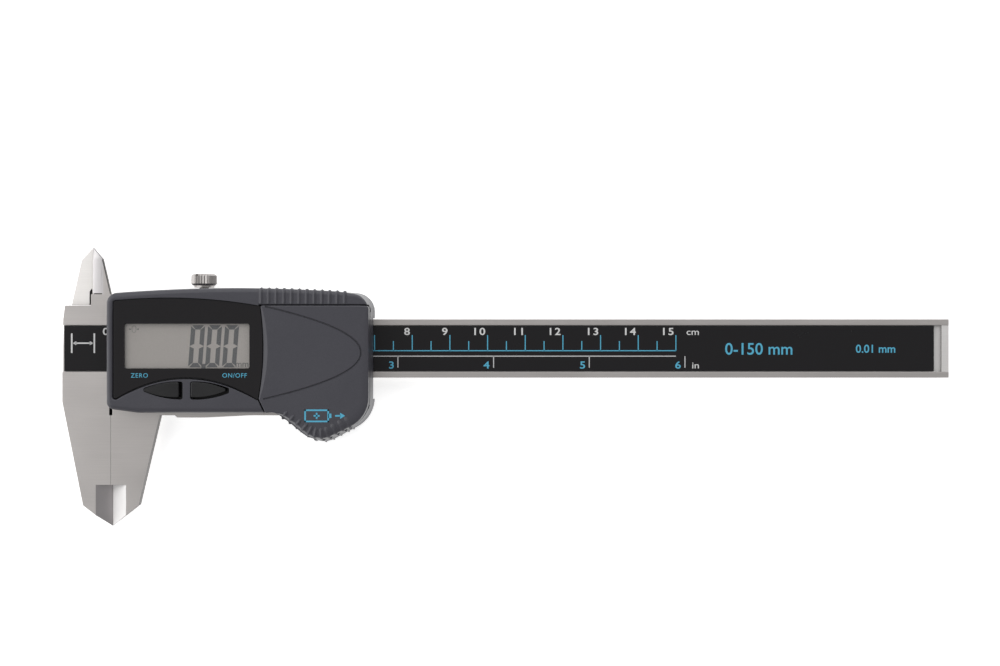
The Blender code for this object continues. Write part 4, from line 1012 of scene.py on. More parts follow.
@dataclass
class Studio:
    """A pale floor, soft lights and the camera straight above the caliper; in metres."""

    image_width: int = 1000
    pixel_size: float = 0.2655e-3
    distance: float = 0.5
    sensor: float = 36.0
    centre: tuple[float, float] = (-0.00145, 0.0143)
    floor_size: float = 6.0
    floor_colour: Colour = (0.9, 0.9, 0.9)
    floor_glow: float = 0.65
    floor_level: float = -0.2e-3
    ambient: float = 0.42
    lamps: tuple[tuple[str, Corner, float, float], ...] = (
        ("left_softbox", (-1.05, 0.15, 0.65), 1.6, 10.4),
        ("top_softbox", (0.1, 1.05, 0.8), 1.5, 8.1),
        ("fill_softbox", (0.85, 0.65, 0.7), 0.7, 1.0))

    def build(self) -> None:
        """Make the floor, the world, the lamps and the camera."""
        scene = bpy.context.scene
        scene.view_settings.view_transform = "Standard"
        self.floor()
        world = bpy.data.worlds.new("studio")
        world.use_nodes = True
        light = world.node_tree.nodes["Background"].inputs
        light["Color"].default_value = (self.ambient, self.ambient, self.ambient, 1.0)
        light["Strength"].default_value = 1.0
        scene.world = world
        for lamp in self.lamps:
            self.softbox(*lamp)
        camera = bpy.data.objects.new("camera", bpy.data.cameras.new("camera"))
        camera.data.sensor_width = self.sensor
        camera.data.lens = self.sensor * self.distance / (self.image_width * self.pixel_size)
        camera.location = (*self.centre, LABEL_HIGH[2] * MM + self.distance)
        scene.collection.objects.link(camera)
        scene.camera = camera

    def floor(self) -> None:
        """Make the floor, which glows where it is seen or mirrored, so that it comes out white."""
        half = self.floor_size / 2
        mesh = bpy.data.meshes.new("floor")
        corners = half * np.array([(-1, -1, 0), (1, -1, 0), (1, 1, 0), (-1, 1, 0)])
        mesh.from_pydata(corners + (0, 0, self.floor_level), [], [(0, 1, 2, 3)])
        floor = bpy.data.objects.new("floor", mesh)
        bpy.context.scene.collection.objects.link(floor)
        material = bpy.data.materials.new("pale_floor")
        material.use_nodes = True
        shader = material.node_tree.nodes["Principled BSDF"]
        shader.inputs["Base Color"].default_value = (*self.floor_colour, 1.0)
        shader.inputs["Roughness"].default_value = 1.0
        shader.inputs["Specular IOR Level"].default_value = 0.0
        shader.inputs["Emission Color"].default_value = (1.0, 1.0, 1.0, 1.0)
        graph = Graph(material.node_tree)
        rays = graph.add("ShaderNodeLightPath").outputs
        seen = rays["Is Camera Ray"]
        steps = (("MAXIMUM", rays["Is Glossy Ray"]), ("MAXIMUM", rays["Is Transmission Ray"]),
                 ("MULTIPLY", self.floor_glow))
        for operation, other in steps:
            node = graph.add("ShaderNodeMath", operation=operation)
            graph.set(node.inputs[0], seen)
            graph.set(node.inputs[1], other)
            seen = node.outputs["Value"]
        graph.set(shader.inputs["Emission Strength"], seen)
        mesh.materials.append(material)

    def softbox(self, name: str, place: Corner, size: float, power: float) -> None:
        """Add a square lamp that faces the caliper.

        Args:
            name: the lamp's name.
            place: where it stands.
            size: its side.
            power: its power in watts.
        """
        lamp = bpy.data.lights.new(name, "AREA")
        lamp.shape = "SQUARE"
        lamp.size = size
        lamp.energy = power
        holder = bpy.data.objects.new(name, lamp)
        holder.location = place
        aim = -holder.location
        holder.rotation_euler = aim.to_track_quat("-Z", "Y").to_euler()
        bpy.context.scene.collection.objects.link(holder)


# Ranges of the upward part of a normal.
WALL = (-0.3, 0.3)
SLOPE = (0.3, 0.97)
FACE = (0.9, 1.1)
RAISED = (0.3, 1.1)
ALL_WAYS = (-1.1, 1.1)
# The height on the drawing below which the outside jaws are ground to a knife edge.
KNIFE_TOP = -36.0


@dataclass(frozen=True)
class Relief:
    """The small clearances at the roots of the measuring faces, with painted shade inside them."""

    reach: float = 0.4
    high: float = -15.65
    low: float = -17.75
    floor_low: float = 1.95
    floor_high: float = 2.5
    gap: float = 0.06
    slit: tuple[tuple[float, float], ...] = (
        (-6.02, 11.45), (-5.27, 11.45), (-5.27, 15.3), (-5.4, 15.95), (-5.95, 15.2), (-6.02, 13.9))

    def floor(self, side: int) -> Object:
        """Return the floor of the clearance in the fixed jaw, for side -1, or in the moving one, for 1,
        which carries painted shade.

        Args:
            side: the jaw.

        Returns:
            The block that closes the clearance's back.
        """
        ends = sorted((side * self.gap, side * (self.reach + OVERRUN)))
        return block((ends[0], self.low - OVERRUN, self.floor_low),
                     (ends[1], self.high + OVERRUN, self.floor_high))

    def slit_cutter(self, top: float) -> Object:
        """Return the cutter of the slit beside the root of the moving inside blade."""
        return plate("slit", np.array(self.slit), [(0.0, self.floor_high), (0.0, top)])

    def darken(self, steel: Object) -> None:
        """Paint shade into the clearances: near-black on their insides and floors, and the dark wall colour
        in the slit.

        Args:
            steel: the settled piece of the jaws.
        """
        back = self.floor_low + self.gap
        paint(steel, RECESS_SHADE_STEEL, ALL_WAYS, (-self.reach - self.gap, self.low - self.gap, back),
              (self.reach + self.gap, self.high + self.gap, 2 * self.floor_high))
        x, y = np.array(self.slit).T
        paint(steel, SHADED_EDGE_STEEL, ALL_WAYS, (x.min() - self.gap, y.min() - self.gap, back),
              (x.max() + self.gap, y.max() + self.gap, self.floor_high + 3 * OVERRUN))


RELIEF = Relief()


@dataclass
class Beam:
    """The beam with its head and fixed jaws, its printed scale and its end stop."""

    bevel: float = 0.06
    land_start: float = 220.5
    land_drop: float = 0.15
    end_bright: float = 218.4
    blade_edge: float = 4.9
    blade_width: float = 2.75
    blade_shoulder: float = 23.75
    grind_start: float = 14.4
    grind_gap: float = 0.25
    grind_width: float = 2.9
    grind_rise: float = 0.24
    grind_power: float = 2.5
    edge_rise: float = 1.05
    edge_power: float = 60.0
    grind_bite: float = 0.15
    grind_spread: float = 2.0
    chamfer: float = 0.2
    groove_half: float = 6.25
    groove_floor: float = 4.4
    ink_gap: float = 0.01
    metric_line: float = -0.6
    metric_top: float = 3.55
    half_top: float = 1.95
    inch_line: float = -2.05
    inch_low: float = -5.1
    line_width: float = 0.26
    figure_height: float = 1.95
    figure_line: float = 3.6
    inch_figure_line: float = -5.3
    figure_gap: float = 0.62
    inch_figure_gap: float = 1.1
    figure_spacing: float = 1.18
    weight: float = 0.04
    stretch: float = 1.22
    centimetres: int = 15
    centimetre: float = 10.0
    inches: int = 6
    inch: float = 25.4
    unit_place: float = 156.1
    unit_height: float = 1.75
    unit_weight: float = 0.01
    range_place: float = 172.0
    range_height: float = 3.2
    step_place: float = 203.0
    step_height: float = 2.2
    sign_middle: tuple[float, float] = (-7.4, 1.4)
    sign_reach: float = 3.0
    sign_bar: float = 2.6
    sign_bar_weight: float = 1.6
    sign_line_weight: float = 1.4
    sign_tip: float = 0.9
    sign_tip_share: float = 0.6
    sign_tip_gap: float = 0.3
    screw_turns: tuple[float, float] = (75.0, 125.0)

    def build(self) -> None:
        """Make the steel pieces and the printing."""
        end, front = drawing_box("beam")[1][[0, 2]]
        land = block((self.land_start, -self.groove_half, self.groove_floor),
                     (end, self.groove_half, front - self.land_drop))
        steel = machined_copy("beam_steel", "beam", self.bevel, (land, self.grind(), RELIEF.floor(-1)),
                              (RELIEF.slit_cutter(front + OVERRUN), self.blade_chamfer(front)),
                              (self.end_bright,))
        settle(steel, Body.BEAM, Slot.STEEL, GROUND_STEEL, "beam")
        # Painted shade on every upright wall of the beam and its jaws.
        paint(steel, SHADED_EDGE_STEEL, WALL)
        blade = (self.grind_width - self.blade_edge, np.inf, np.inf)
        paint(steel, HONED_STEEL, RAISED, (-np.inf, self.grind_start, -np.inf), blade)
        # Painted shade on the chamfer along the blade's outer side, and in a band across the foot of the
        # grind.
        paint(steel, SHADED_EDGE_STEEL, SLOPE, (blade[0], self.grind_start, -np.inf))
        paint(steel, SHADED_EDGE_STEEL, ALL_WAYS, (-self.blade_edge, self.grind_start - self.ink_gap, -np.inf),
              (blade[0], self.grind_start + self.grind_gap + self.ink_gap, np.inf))
        # Painted shade on the knife facets of the fixed outside jaw.
        paint(steel, SHADED_FACET_STEEL, SLOPE, high=(np.inf, KNIFE_TOP, np.inf))
        paint(steel, SATIN_STEEL, FACE, (self.end_bright, -self.groove_half, self.groove_floor),
              (np.inf, self.groove_half, np.inf))
        # Painted shade in the clearances and the slit at the jaws' roots.
        RELIEF.darken(steel)
        stop = machined_copy("end_stop_steel", "end_stop_plate", self.bevel)
        settle(stop, Body.BEAM, Slot.STEEL, GROUND_STEEL, "end_stop_plate")
        for number, turn in enumerate(self.screw_turns, 1):
            slotted_screw(f"end_stop_screw_{number}", Body.BEAM, math.radians(turn))
        self.print_figures()
        self.print_lines()
        self.print_marks()

    def grind(self) -> Object:
        """Return the rounded grind of the fixed inside blade, from its edge up to its face.

        Its height at share u of the grind's width is face - rise (1 - u)^power, less a second such
        drop that is steeper, at the edge itself. It is carried along Y and narrowed with the blade
        towards its tip.

        Returns:
            The grind as a closed solid that reaches down into the blade.
        """
        high = drawing_box("beam")[1]
        edge, width, face = -self.blade_edge, self.grind_width, high[2]
        y = np.array([self.grind_start + self.grind_gap, self.blade_shoulder, self.blade_shoulder, high[1]])
        right = np.array([edge + width, edge + width, edge + self.blade_width, edge])
        y[1] -= self.grind_gap
        y[3] -= self.grind_gap
        right[3] += self.grind_gap * self.blade_width / (high[1] - self.blade_shoulder)
        share = np.linspace(0.0, 1.0, 4 * EDGE_STEPS + 1) ** self.grind_spread
        x = edge + self.ink_gap + share * (right - edge - 3 * self.ink_gap)[:, None]
        u = (x - edge) / width
        left = 1 - np.clip(u, 0.0, 1.0)
        rise = self.grind_rise + self.edge_rise
        upper = face - self.ink_gap / 2 - self.grind_rise * left ** self.grind_power
        upper -= self.edge_rise * left ** self.edge_power
        lower = face - rise - self.grind_bite + u * (rise - 2 * self.grind_bite)
        section_x = np.concatenate((x, x[:, ::-1]), axis=1)
        section_z = np.concatenate((lower, upper[:, ::-1]), axis=1)
        section_y = np.broadcast_to(y[:, None], section_x.shape)
        return loft("grind", np.stack((section_x, section_y, section_z), axis=2))

    def blade_chamfer(self, front: float) -> Object:
        """Return the cutter of the chamfer along the outer side of the fixed inside blade.

        Args:
            front: the height of the blade's face.

        Returns:
            A three-sided solid from the blade's root to its shoulder.
        """
        ends = np.array([[0.0, self.grind_start], [self.blade_width - self.blade_edge, self.blade_shoulder]])
        along = unit(ends[1:] - ends[:1])[0]
        out = np.array([along[1], -along[0]])
        over = self.chamfer
        section = np.array([[-2 * over, over], [over, -2 * over], [over, over]])
        flat = ends[:, None] + section[None, :, :1] * out
        height = np.broadcast_to(front + section[:, 1], flat.shape[:2])
        return loft("chamfer", np.concatenate((flat, height[..., None]), axis=2))

    def printed(self) -> Print:
        """Return an empty print on the face of the scale."""
        return Print(LABEL_HIGH[2] + self.ink_gap)

    def print_figures(self) -> None:
        """Print the centimetre and inch figures beside their marks."""
        figures = self.printed()
        for number in range(self.centimetres + 1):
            place = (self.centimetre * number - self.figure_gap, self.figure_line)
            figures.letters(str(number), self.figure_height, place, Justify.RIGHT, self.weight, self.stretch,
                            self.figure_spacing)
        settle(figures.build("centimetre_figures"), Body.BEAM, Slot.SCALE_PRINT, WHITE_INK)
        figures = self.printed()
        for number in range(1, self.inches + 1):
            place = (self.inch * number - self.inch_figure_gap, self.inch_figure_line)
            figures.letters(str(number), self.figure_height, place, Justify.RIGHT, self.weight, self.stretch)
        settle(figures.build("inch_figures"), Body.BEAM, Slot.SCALE_PRINT, CYAN_INK)

    def print_lines(self) -> None:
        """Print the base lines and their marks at centimetres, half centimetres and inches."""
        halves = np.arange(2 * self.centimetres + 1)
        tops = np.where(halves % 2 == 0, self.metric_top, self.half_top)
        marks = self.inch * np.arange(self.inches + 1)
        rulers = (("centimetre_lines", CYAN_INK, self.metric_line, self.centimetre / 2 * halves, tops),
                  ("inch_lines", GREY_INK, self.inch_line, marks, np.full_like(marks, self.inch_low)))
        end = self.centimetre * self.centimetres
        for name, ink, base, places, ends in rulers:
            lines = self.printed()
            lines.bars(np.array([[0.0, base]]), np.array([[end, base]]), self.line_width)
            lines.bars(np.stack((places, np.full_like(places, base)), axis=1),
                       np.stack((places, ends), axis=1), self.line_width)
            settle(lines.build(name), Body.BEAM, Slot.SCALE_PRINT, ink)

    def print_marks(self) -> None:
        """Print the units, the range and step, and a plain measuring sign on the head."""
        white = self.printed()
        for text, line in (("cm", self.figure_line), ("in", self.inch_figure_line)):
            white.letters(text, self.unit_height, (self.unit_place, line), Justify.RIGHT, self.unit_weight,
                          self.stretch)
        middle, tip = np.array(self.sign_middle), self.sign_tip
        ends = np.array([[-self.sign_reach, 0.0], [self.sign_reach, 0.0]])
        up, along = np.array([0.0, self.sign_bar]), np.array([tip, 0.0])
        white.bars(middle + ends - up, middle + ends + up, self.line_width * self.sign_bar_weight)
        white.bars(middle + ends[:1] + along, middle + ends[1:] - along,
                   self.line_width * self.sign_line_weight)
        point, half = self.sign_reach - self.sign_tip_gap, tip * self.sign_tip_share
        heads = np.array([[[point, 0.0], [point - tip, half], [point - tip, -half]]])
        white.shapes(np.concatenate((middle + heads, middle - heads), axis=0))
        settle(white.build("white_marks"), Body.BEAM, Slot.SCALE_PRINT, WHITE_INK)
        cyan = self.printed()
        for text, height, place in (("0-150 mm", self.range_height, self.range_place),
                                    ("0.01 mm", self.step_height, self.step_place)):
            cyan.letters(text, height, (place, -height / 2), Justify.MIDDLE, self.weight)
        settle(cyan.build("cyan_marks"), Body.BEAM, Slot.SCALE_PRINT, CYAN_INK)


SCREW_HEAD, SCREW_RIM, SCREW_SHANK = 0.8, 0.12, 0.75
SCREW_SLOT_HALF, SCREW_SLOT_DEPTH = 0.25, 0.4


def slotted_screw(node: str, body: Body, turn: float) -> Object:
    """Make a countersunk screw in a back plate, with a rounded rim and a drive slot.

    Args:
        node: the screw's node, which gives its size and place.
        body: the body that it rides on.
        turn: the angle of its slot.

    Returns:
        The new piece.
    """
    low, high, middle, radius = round_box(node)
    rim, shank, face = SCREW_RIM, SCREW_SHANK, -low[2]
    profile = [(shank - rim, -high[2]), (shank, -high[2] + rim), (shank, face - SCREW_HEAD),
               (radius, face - rim * 2), (radius, face - rim), (radius - rim, face), (radius / 2, face)]
    screw = turned(f"{node}_slotted", profile, (middle[0], middle[1], 0.0), Pose.BACK)
    way = np.array([math.cos(turn), math.sin(turn)]) * (radius + OVERRUN)
    side = np.array([-math.sin(turn), math.cos(turn)]) * SCREW_SLOT_HALF
    outline = middle[:2] + np.array([-way - side, way - side, way + side, -way + side])
    cut(screw, plate("slot", outline, [(0.0, low[2] - OVERRUN), (0.0, low[2] + SCREW_SLOT_DEPTH)]))
    return settle(screw, body, Slot.BRIGHT_STEEL, BRIGHT_STEEL, node)


@dataclass
class Slide:
    """The slide: its frame with the moving jaws, back plate, depth rod and fasteners."""

    bevel: float = 0.06
    rod_bevel: float = 0.2
    head_top: float = 11.4
    matt_end: float = 0.5
    screws: int = 4
    screw_turn: float = 37.0
    rivets: int = 2
    rivet_edge: float = 0.25

    def build(self) -> None:
        """Make the steel pieces and their fasteners."""
        jaws = machined_copy("slider_steel", "slider_frame", self.bevel, (RELIEF.floor(1),),
                             (RELIEF.slit_cutter(LABEL_HIGH[2]),))
        settle(jaws, Body.SLIDER, Slot.STEEL, GROUND_STEEL, "slider_frame")
        # Painted shade on every upright wall of the frame and its jaws.
        paint(jaws, SHADED_EDGE_STEEL, WALL)
        # Painted light on the knife facets of the moving outside jaw.
        paint(jaws, LIT_FACET_STEEL, SLOPE, high=(np.inf, KNIFE_TOP, np.inf))
        # Painted sheen on the face of the moving inside blade.
        paint(jaws, MATT_SHEEN_STEEL, FACE, (-np.inf, self.head_top, -np.inf), (self.matt_end, np.inf, np.inf))
        # Painted shade in the clearances and the slit at the jaws' roots.
        RELIEF.darken(jaws)
        plate_piece = machined_copy("back_plate_steel", "back_plate", self.bevel)
        settle(plate_piece, Body.SLIDER, Slot.STEEL, GROUND_STEEL, "back_plate")
        rod = machined_copy("depth_rod_steel", "depth_rod", self.rod_bevel)
        settle(rod, Body.SLIDER, Slot.BRIGHT_STEEL, BRIGHT_STEEL, "depth_rod")
        for number in range(1, self.screws + 1):
            slotted_screw(f"back_plate_screw_{number}", Body.SLIDER, math.radians(self.screw_turn * number))
        for number in range(1, self.rivets + 1):
            self.rivet(f"depth_rod_rivet_{number}")

    def rivet(self, node: str) -> None:
        """Make a rivet with softly rounded ends.

        Args:
            node: the rivet's node, which gives its size and place.
        """
        low, high, middle, radius = round_box(node)
        edge = min(self.rivet_edge, radius / 3)
        profile = [(radius - edge, low[2]), (radius, low[2] + edge), (radius, high[2] - edge),
                   (radius - edge / 3, high[2] - edge / 3), (radius - edge, high[2])]
        rivet = turned(f"{node}_round", profile, (middle[0], middle[1], 0.0))
        settle(rivet, Body.SLIDER, Slot.BRIGHT_STEEL, BRIGHT_STEEL, node)


@dataclass
class LockScrew:
    """The knurled lock screw on the top edge of the casing."""

    centre_x: float = 24.5
    centre_z: float = 3.7
    shank: float = 1.3
    thread_depth: float = 0.16
    pitch: float = 0.5
    neck: float = 2.7
    neck_low: float = 16.17
    head_low: float = 16.72
    head: float = 3.4
    chamfer: float = 0.5
    knurls: int = 28
    knurl_points: int = 6
    knurl_depth: float = 0.24
    slot_half: float = 0.45
    slot_depth: float = 0.6
    slot_turn: float = math.radians(28)

    def build(self) -> None:
        """Turn the screw and cut its slot."""
        low, high = drawing_box("lock_screw")
        bottom, top = low[1], high[1]
        turns = np.arange(bottom + self.pitch, self.neck_low - self.pitch, self.pitch / 2)
        thread = [(self.shank - self.thread_depth * (step % 2), y) for step, y in enumerate(turns)]
        edge = self.chamfer / 4
        profile = [(self.shank - self.thread_depth, bottom), *thread, (self.shank, self.neck_low),
                   (self.neck, self.neck_low), (self.neck, self.head_low),
                   (self.head - self.chamfer, self.head_low), (self.head, self.head_low + self.chamfer),
                   (self.head, top - self.chamfer), (self.head - self.chamfer, top - edge),
                   (self.head - self.chamfer - edge, top)]
        place = (self.centre_x, 0.0, self.centre_z)
        screw = turned("lock_screw_knurled", profile, place, Pose.TOP, self.knurls * self.knurl_points,
                       self.knurls, self.knurl_depth)
        way = np.array([-math.sin(self.slot_turn), math.cos(self.slot_turn)]) * (self.head + OVERRUN)
        side = np.array([math.cos(self.slot_turn), math.sin(self.slot_turn)]) * self.slot_half
        outline = np.array([-way - side, -way + side, way + side, way - side])
        across, over = outline.T + np.array([[self.centre_x], [self.centre_z]])
        levels = (top - self.slot_depth, top + OVERRUN)
        rings = [np.column_stack((across, np.full_like(across, level), over)) for level in levels]
        cut(screw, loft("slot", np.array(rings)))
        settle(screw, Body.LOCK_SCREW, Slot.BRIGHT_STEEL, KNURLED_STEEL, "lock_screw")


@dataclass
class Casing:
    """The moulded casing: a rounded shell with openings for window, keys, cell and slide."""

    top: float = 15.85
    crown: float = 1.45
    crown_lead: float = 5.6
    crown_points: int = 24
    bottom: float = -16.7
    shoulder: tuple[float, float] = (8.2, 1.1)
    shoulder_rounds: tuple[float, float] = (2.0, 10.0)
    top_rounds: tuple[float, float] = (2.8, 5.0)
    stations: tuple[tuple[float, ...], ...] = (
        (0.75, 0.0, 1.0, 1.2, 0.0), (0.75, 11.0, 1.0, 1.2, 0.0), (5.0, 14.9, 1.4, 1.2, 0.0),
        (35.0, 16.0, 1.3, 1.2, 0.0), (61.0, 15.2, 1.2, 1.1, 0.1), (68.5, 13.2, 0.5, 0.4, 0.7),
        (69.9, 8.0, 0.25, 0.25, 0.87), (69.9, -10.0, 0.25, 0.25, 0.87), (66.0, -20.5, 0.3, 0.3, 1.05),
        (56.0, -24.7, 0.3, 0.3, 1.5), (50.5, -21.6, 0.3, 0.3, 0.8), (46.0, -17.7, 0.5, 0.4, 0.2),
        (41.0, -16.7, 1.5, 1.2, 0.0), (8.0, -16.7, 1.6, 1.2, 0.0), (0.75, -10.0, 1.0, 1.2, 0.0))
    skirt_round: float = 0.3
    frame_low: float = -18.65
    jaw_end: float = 4.6
    wall: float = 1.5
    end_wall: float = 1.6
    room_round: float = 2.2
    front_inside: float = 12.0
    window_ledge: float = 12.9
    deck_top: float = 11.6
    deck_bottom: float = 9.6
    lip_floor: float = 12.5
    bay_gap: float = 0.25
    rim_low: float = 11.5
    slide_end: float = 66.2
    slide_top: float = 12.75
    slide_gap: float = 0.3
    screen_gap: float = 0.2
    web_back: float = 5.8
    web_front: float = 7.0
    half_beam: float = 7.75
    notch_low: float = -13.45
    rim_flare: float = 0.3
    cell: tuple[float, float] = (55.0, -2.55)
    cell_hole: float = 12.0
    guide_reach: float = 12.8
    guide_half: float = 0.6
    guide_depth: float = 0.9
    lock_x: float = 24.5
    lock_z: float = 3.7
    lock_half: float = 1.75
    boss: float = 1.8
    boss_hole: float = 0.9
    boss_bite: float = 3.35
    boss_ends: tuple[float, float] = (5.6, 4.2)
    boss_rows: tuple[float, float] = (10.7, -11.9)
    boss_gap: float = 0.15
    boss_sink: float = 0.2
    ribs: int = 12
    rib_start: float = 41.1
    rib_pitch: float = 1.98
    rib_half: float = 0.6
    rib_height: float = 0.38
    rib_lead: tuple[float, float] = (0.2, 0.5)
    rib_taper: tuple[float, float] = (0.7, 0.6)
    rib_foot: float = 11.7
    rib_run: float = 0.6
    heel_height: float = 0.5
    heel_low: float = 4.0
    heel_lead: float = 0.4
    heel_tail: tuple[float, float] = (0.5, 0.15)

    def __post_init__(self) -> None:
        """Take the outer sizes from the frame."""
        low, high = drawing_box("main_housing")
        self.start, self.end = low[0], high[0]
        self.skirt, self.front = low[2], high[2]

    def crown_at(self, x: float | Points) -> float | Points:
        """Return the height of the crowned top edge: top - crown times the square of x's share."""
        middle = (self.start + self.end) / 2
        return self.top - self.crown * ((x - middle) / (self.end - middle)) ** 2

    def outline(self) -> Points:
        """Return the casing's outline, with its crown as points on a parabola.

        Returns:
            The outline, anticlockwise from the lower left.
        """
        x = np.linspace(self.end - self.crown_lead, self.start + self.crown_lead, self.crown_points)
        crown = with_radius(np.stack((x, self.crown_at(x)), axis=1))
        return subdivided(arc_outline([
            (self.start, self.bottom + self.shoulder[1], self.shoulder_rounds[0]),
            (self.start + self.shoulder[0], self.bottom, self.shoulder_rounds[1]),
            *THUMB_REST.casing,
            (self.end, self.crown_at(self.end), self.top_rounds[1]),
            *crown.tolist(),
            (self.start, self.crown_at(self.start), self.top_rounds[0]),
        ]))

    def bay_outline(self, edge: bool) -> Points:
        """Return the outline of the room for the battery cover.

        Args:
            edge: whether its left side follows the bowed joint, or the straight wall behind it.

        Returns:
            The outline, open past the casing's end.
        """
        right, low = self.end + OVERRUN, THUMB_REST.lowest
        if not edge:
            return rectangle((THUMB_REST.start, low), (right, self.rim_low))
        joint = BAY_EDGE.points(BAY_EDGE.foot, self.rim_low, -self.bay_gap)[::-1]
        foot = (joint[-1, 0] + BAY_EDGE.foot_run, self.bottom)
        return np.array([*joint, foot, (foot[0], low), (right, low), (right, self.rim_low)])

    def build(self) -> None:
        """Mould the shell, cut its openings and join its bosses and grip ribs."""
        outline = self.outline()
        width, drop, draft = carried(outline, self.stations)
        skirt = round_edge(self.skirt_round, self.skirt_round, self.skirt_round)[::-1]
        shell = plate("casing_shell", outline, [
            *[(inset, self.skirt + self.skirt_round - height) for inset, height in skirt],
            *[(draft + inset, height) for inset, height in round_edge(width, drop, self.front)]])
        cut(shell, *self.rooms())
        join(shell, *self.bosses())
        cut(shell, *self.openings())
        join(shell, *self.grip_ribs(), *self.heel_ribs(outline))
        settle(shell, Body.SLIDER, Slot.CASING, PLASTIC, "main_housing")

    def rooms(self) -> list[Object]:
        """Return cutters for the rooms inside the shell and for the battery cover's bay.

        Returns:
            The cutters: two rooms, the slide's way and its ends, and the bay with its lip.
        """
        under = self.skirt - OVERRUN
        left, right = self.start + self.wall, self.end - self.end_wall
        high = self.crown_at(left) - self.wall
        low = self.bottom + self.wall
        before = self.start - OVERRUN
        start = THUMB_REST.start
        return [
            block((left, low, under), (start, high, self.front_inside)),
            plate("room", rectangle((start - OVERRUN, low), (right, high), self.room_round),
                  [(0.0, under), (0.0, self.deck_bottom)]),
            block((before, self.frame_low, under),
                  (self.slide_end + self.slide_gap, self.slide_top + self.slide_gap, self.web_back)),
            block((before, self.half_beam, under), (self.jaw_end, self.top + OVERRUN, self.web_back)),
            block((self.slide_end, self.notch_low, under),
                  (self.end + OVERRUN, self.half_beam + self.slide_gap, self.web_back)),
            plate("bay", self.bay_outline(False), [(0.0, self.deck_top), (0.0, self.front + OVERRUN)]),
            flared(self.bay_outline(True), self.lip_floor, self.front, self.rim_flare),
        ]

    def boss_places(self) -> list[tuple[float, float]]:
        """Return the places of the four screw bosses behind the display."""
        ends = (self.start + self.boss_ends[0], THUMB_REST.start - self.boss_ends[1])
        return [(x, y) for x in ends for y in self.boss_rows]

    def bosses(self) -> list[Object]:
        """Return the screw bosses, as tubes from the slide's web to the front wall."""
        tube = [(self.boss, self.web_front + self.boss_gap), (self.boss, self.front_inside + self.boss_sink)]
        return [turned("boss", tube, (*place, 0.0)) for place in self.boss_places()]

    def openings(self) -> list[Object]:
        """Return cutters for the window, screen, keys, cell, cover guides, lock screw and boss holes.

        Returns:
            The cutters, in that order.
        """
        pane = WINDOW.outline()
        gap, flare = carried(pane, WINDOW.stations)
        tools = [flared(pane + outward(pane) * gap[:, None], self.window_ledge, self.front, flare)]
        low, high = WINDOW.screen()
        tools.append(block((*(low - self.screen_gap), self.front_inside - OVERRUN),
                           (*(high + self.screen_gap), self.window_ledge + OVERRUN)))
        for side in (-1, 1):
            tools.append(flared(KEYS.pocket(side), self.front_inside - OVERRUN, self.front, KEYS.rim))
        tools.append(turned("cell_hole", [(self.cell_hole, self.deck_bottom - OVERRUN),
                                          (self.cell_hole, self.deck_top + OVERRUN)], (*self.cell, 0.0),
                            sides=2 * ROUND_SIDES))
        for y in (self.cell[1] - self.guide_reach, self.cell[1] + self.guide_reach):
            tools.append(block((THUMB_REST.start, y - self.guide_half, self.deck_top - self.guide_depth),
                               (self.end + OVERRUN, y + self.guide_half, self.deck_top + OVERRUN)))
        tools.append(block((self.lock_x - self.lock_half, self.half_beam + OVERRUN, self.skirt - OVERRUN),
                           (self.lock_x + self.lock_half, self.top + OVERRUN, self.lock_z + self.lock_half)))
        hole = [(self.boss_hole, self.web_front + end) for end in (-OVERRUN, self.boss_bite)]
        for place in self.boss_places():
            tools.append(turned("boss_hole", hole, (*place, 0.0), sides=ROUND_SIDES // 2))
        return tools

    def grip_ribs(self) -> list[Object]:
        """Return the ribs of the finger grip, carried over the rounded top edge of the rim.

        Returns:
            The ribs as closed sweeps.
        """
        angle = np.linspace(math.pi / 2, 0.0, RIB_STEPS + 1)
        section = ridge(self.rib_height, self.rib_half)
        outline = self.outline()
        width, drop, _ = carried(outline, self.stations)
        on_top = outline[:, 1] > self.rim_low
        order = np.argsort(outline[on_top, 0])
        run = outline[on_top, 0][order]
        ribs = []
        for number in range(self.ribs):
            x = self.rib_start + number * self.rib_pitch
            high = self.crown_at(x)
            wide, deep = (np.interp(x, run, part[on_top][order]) for part in (width, drop))
            bend_y = high - wide * (1 - np.cos(angle))
            bend_z = self.front - deep * (1 - np.sin(angle))
            y = np.concatenate((self.rim_low + np.array(self.rib_lead), bend_y, [high, high]))
            z = np.concatenate(([self.front] * 2, bend_z, [self.rib_foot + self.rib_run, self.rib_foot]))
            path = np.stack((np.full_like(y, x), y, z), axis=1)
            fall = np.linspace(1.0, self.rib_taper[1], len(y) - 3)
            taper = np.concatenate(([self.rib_taper[0], 1.0], fall, [RIB_TIP]))
            ribs.append(sweep("rib", path, np.array([1.0, 0.0, 0.0]), section, taper))
        return ribs

    def heel_ribs(self, outline: Points) -> list[Object]:
        """Return upright ribs on the wall below the cover's thumb ribs, each in line with one of them.

        Args:
            outline: the casing's outline.

        Returns:
            The ribs as closed sweeps.
        """
        draft = carried(outline, self.stations)[2]
        step = unit(outward(outline))
        levels = np.array([self.heel_low, self.heel_low + self.heel_lead, self.deck_top - self.heel_tail[0],
                           self.deck_top - self.heel_tail[1]])
        share = (levels - self.skirt) / (self.front - self.skirt)
        taper = np.array([RIB_TIP, 1.0, 1.0, RIB_TIP])
        ribs = []
        for place, out in zip(*BAY.rib_places()):
            offset = outline - place
            aside = np.abs(offset[:, 0] * out[1] - offset[:, 1] * out[0])
            near = int(np.argmin(aside + np.where(offset @ out < -self.wall, self.end, 0.0)))
            flat = outline[near] - (share * draft[near])[:, None] * step[near]
            across = np.array([-step[near][1], step[near][0], 0.0])
            ribs.append(sweep("heel_rib", np.column_stack((flat, levels)), across,
                              ridge(self.heel_height, self.rib_half), taper))
        return ribs


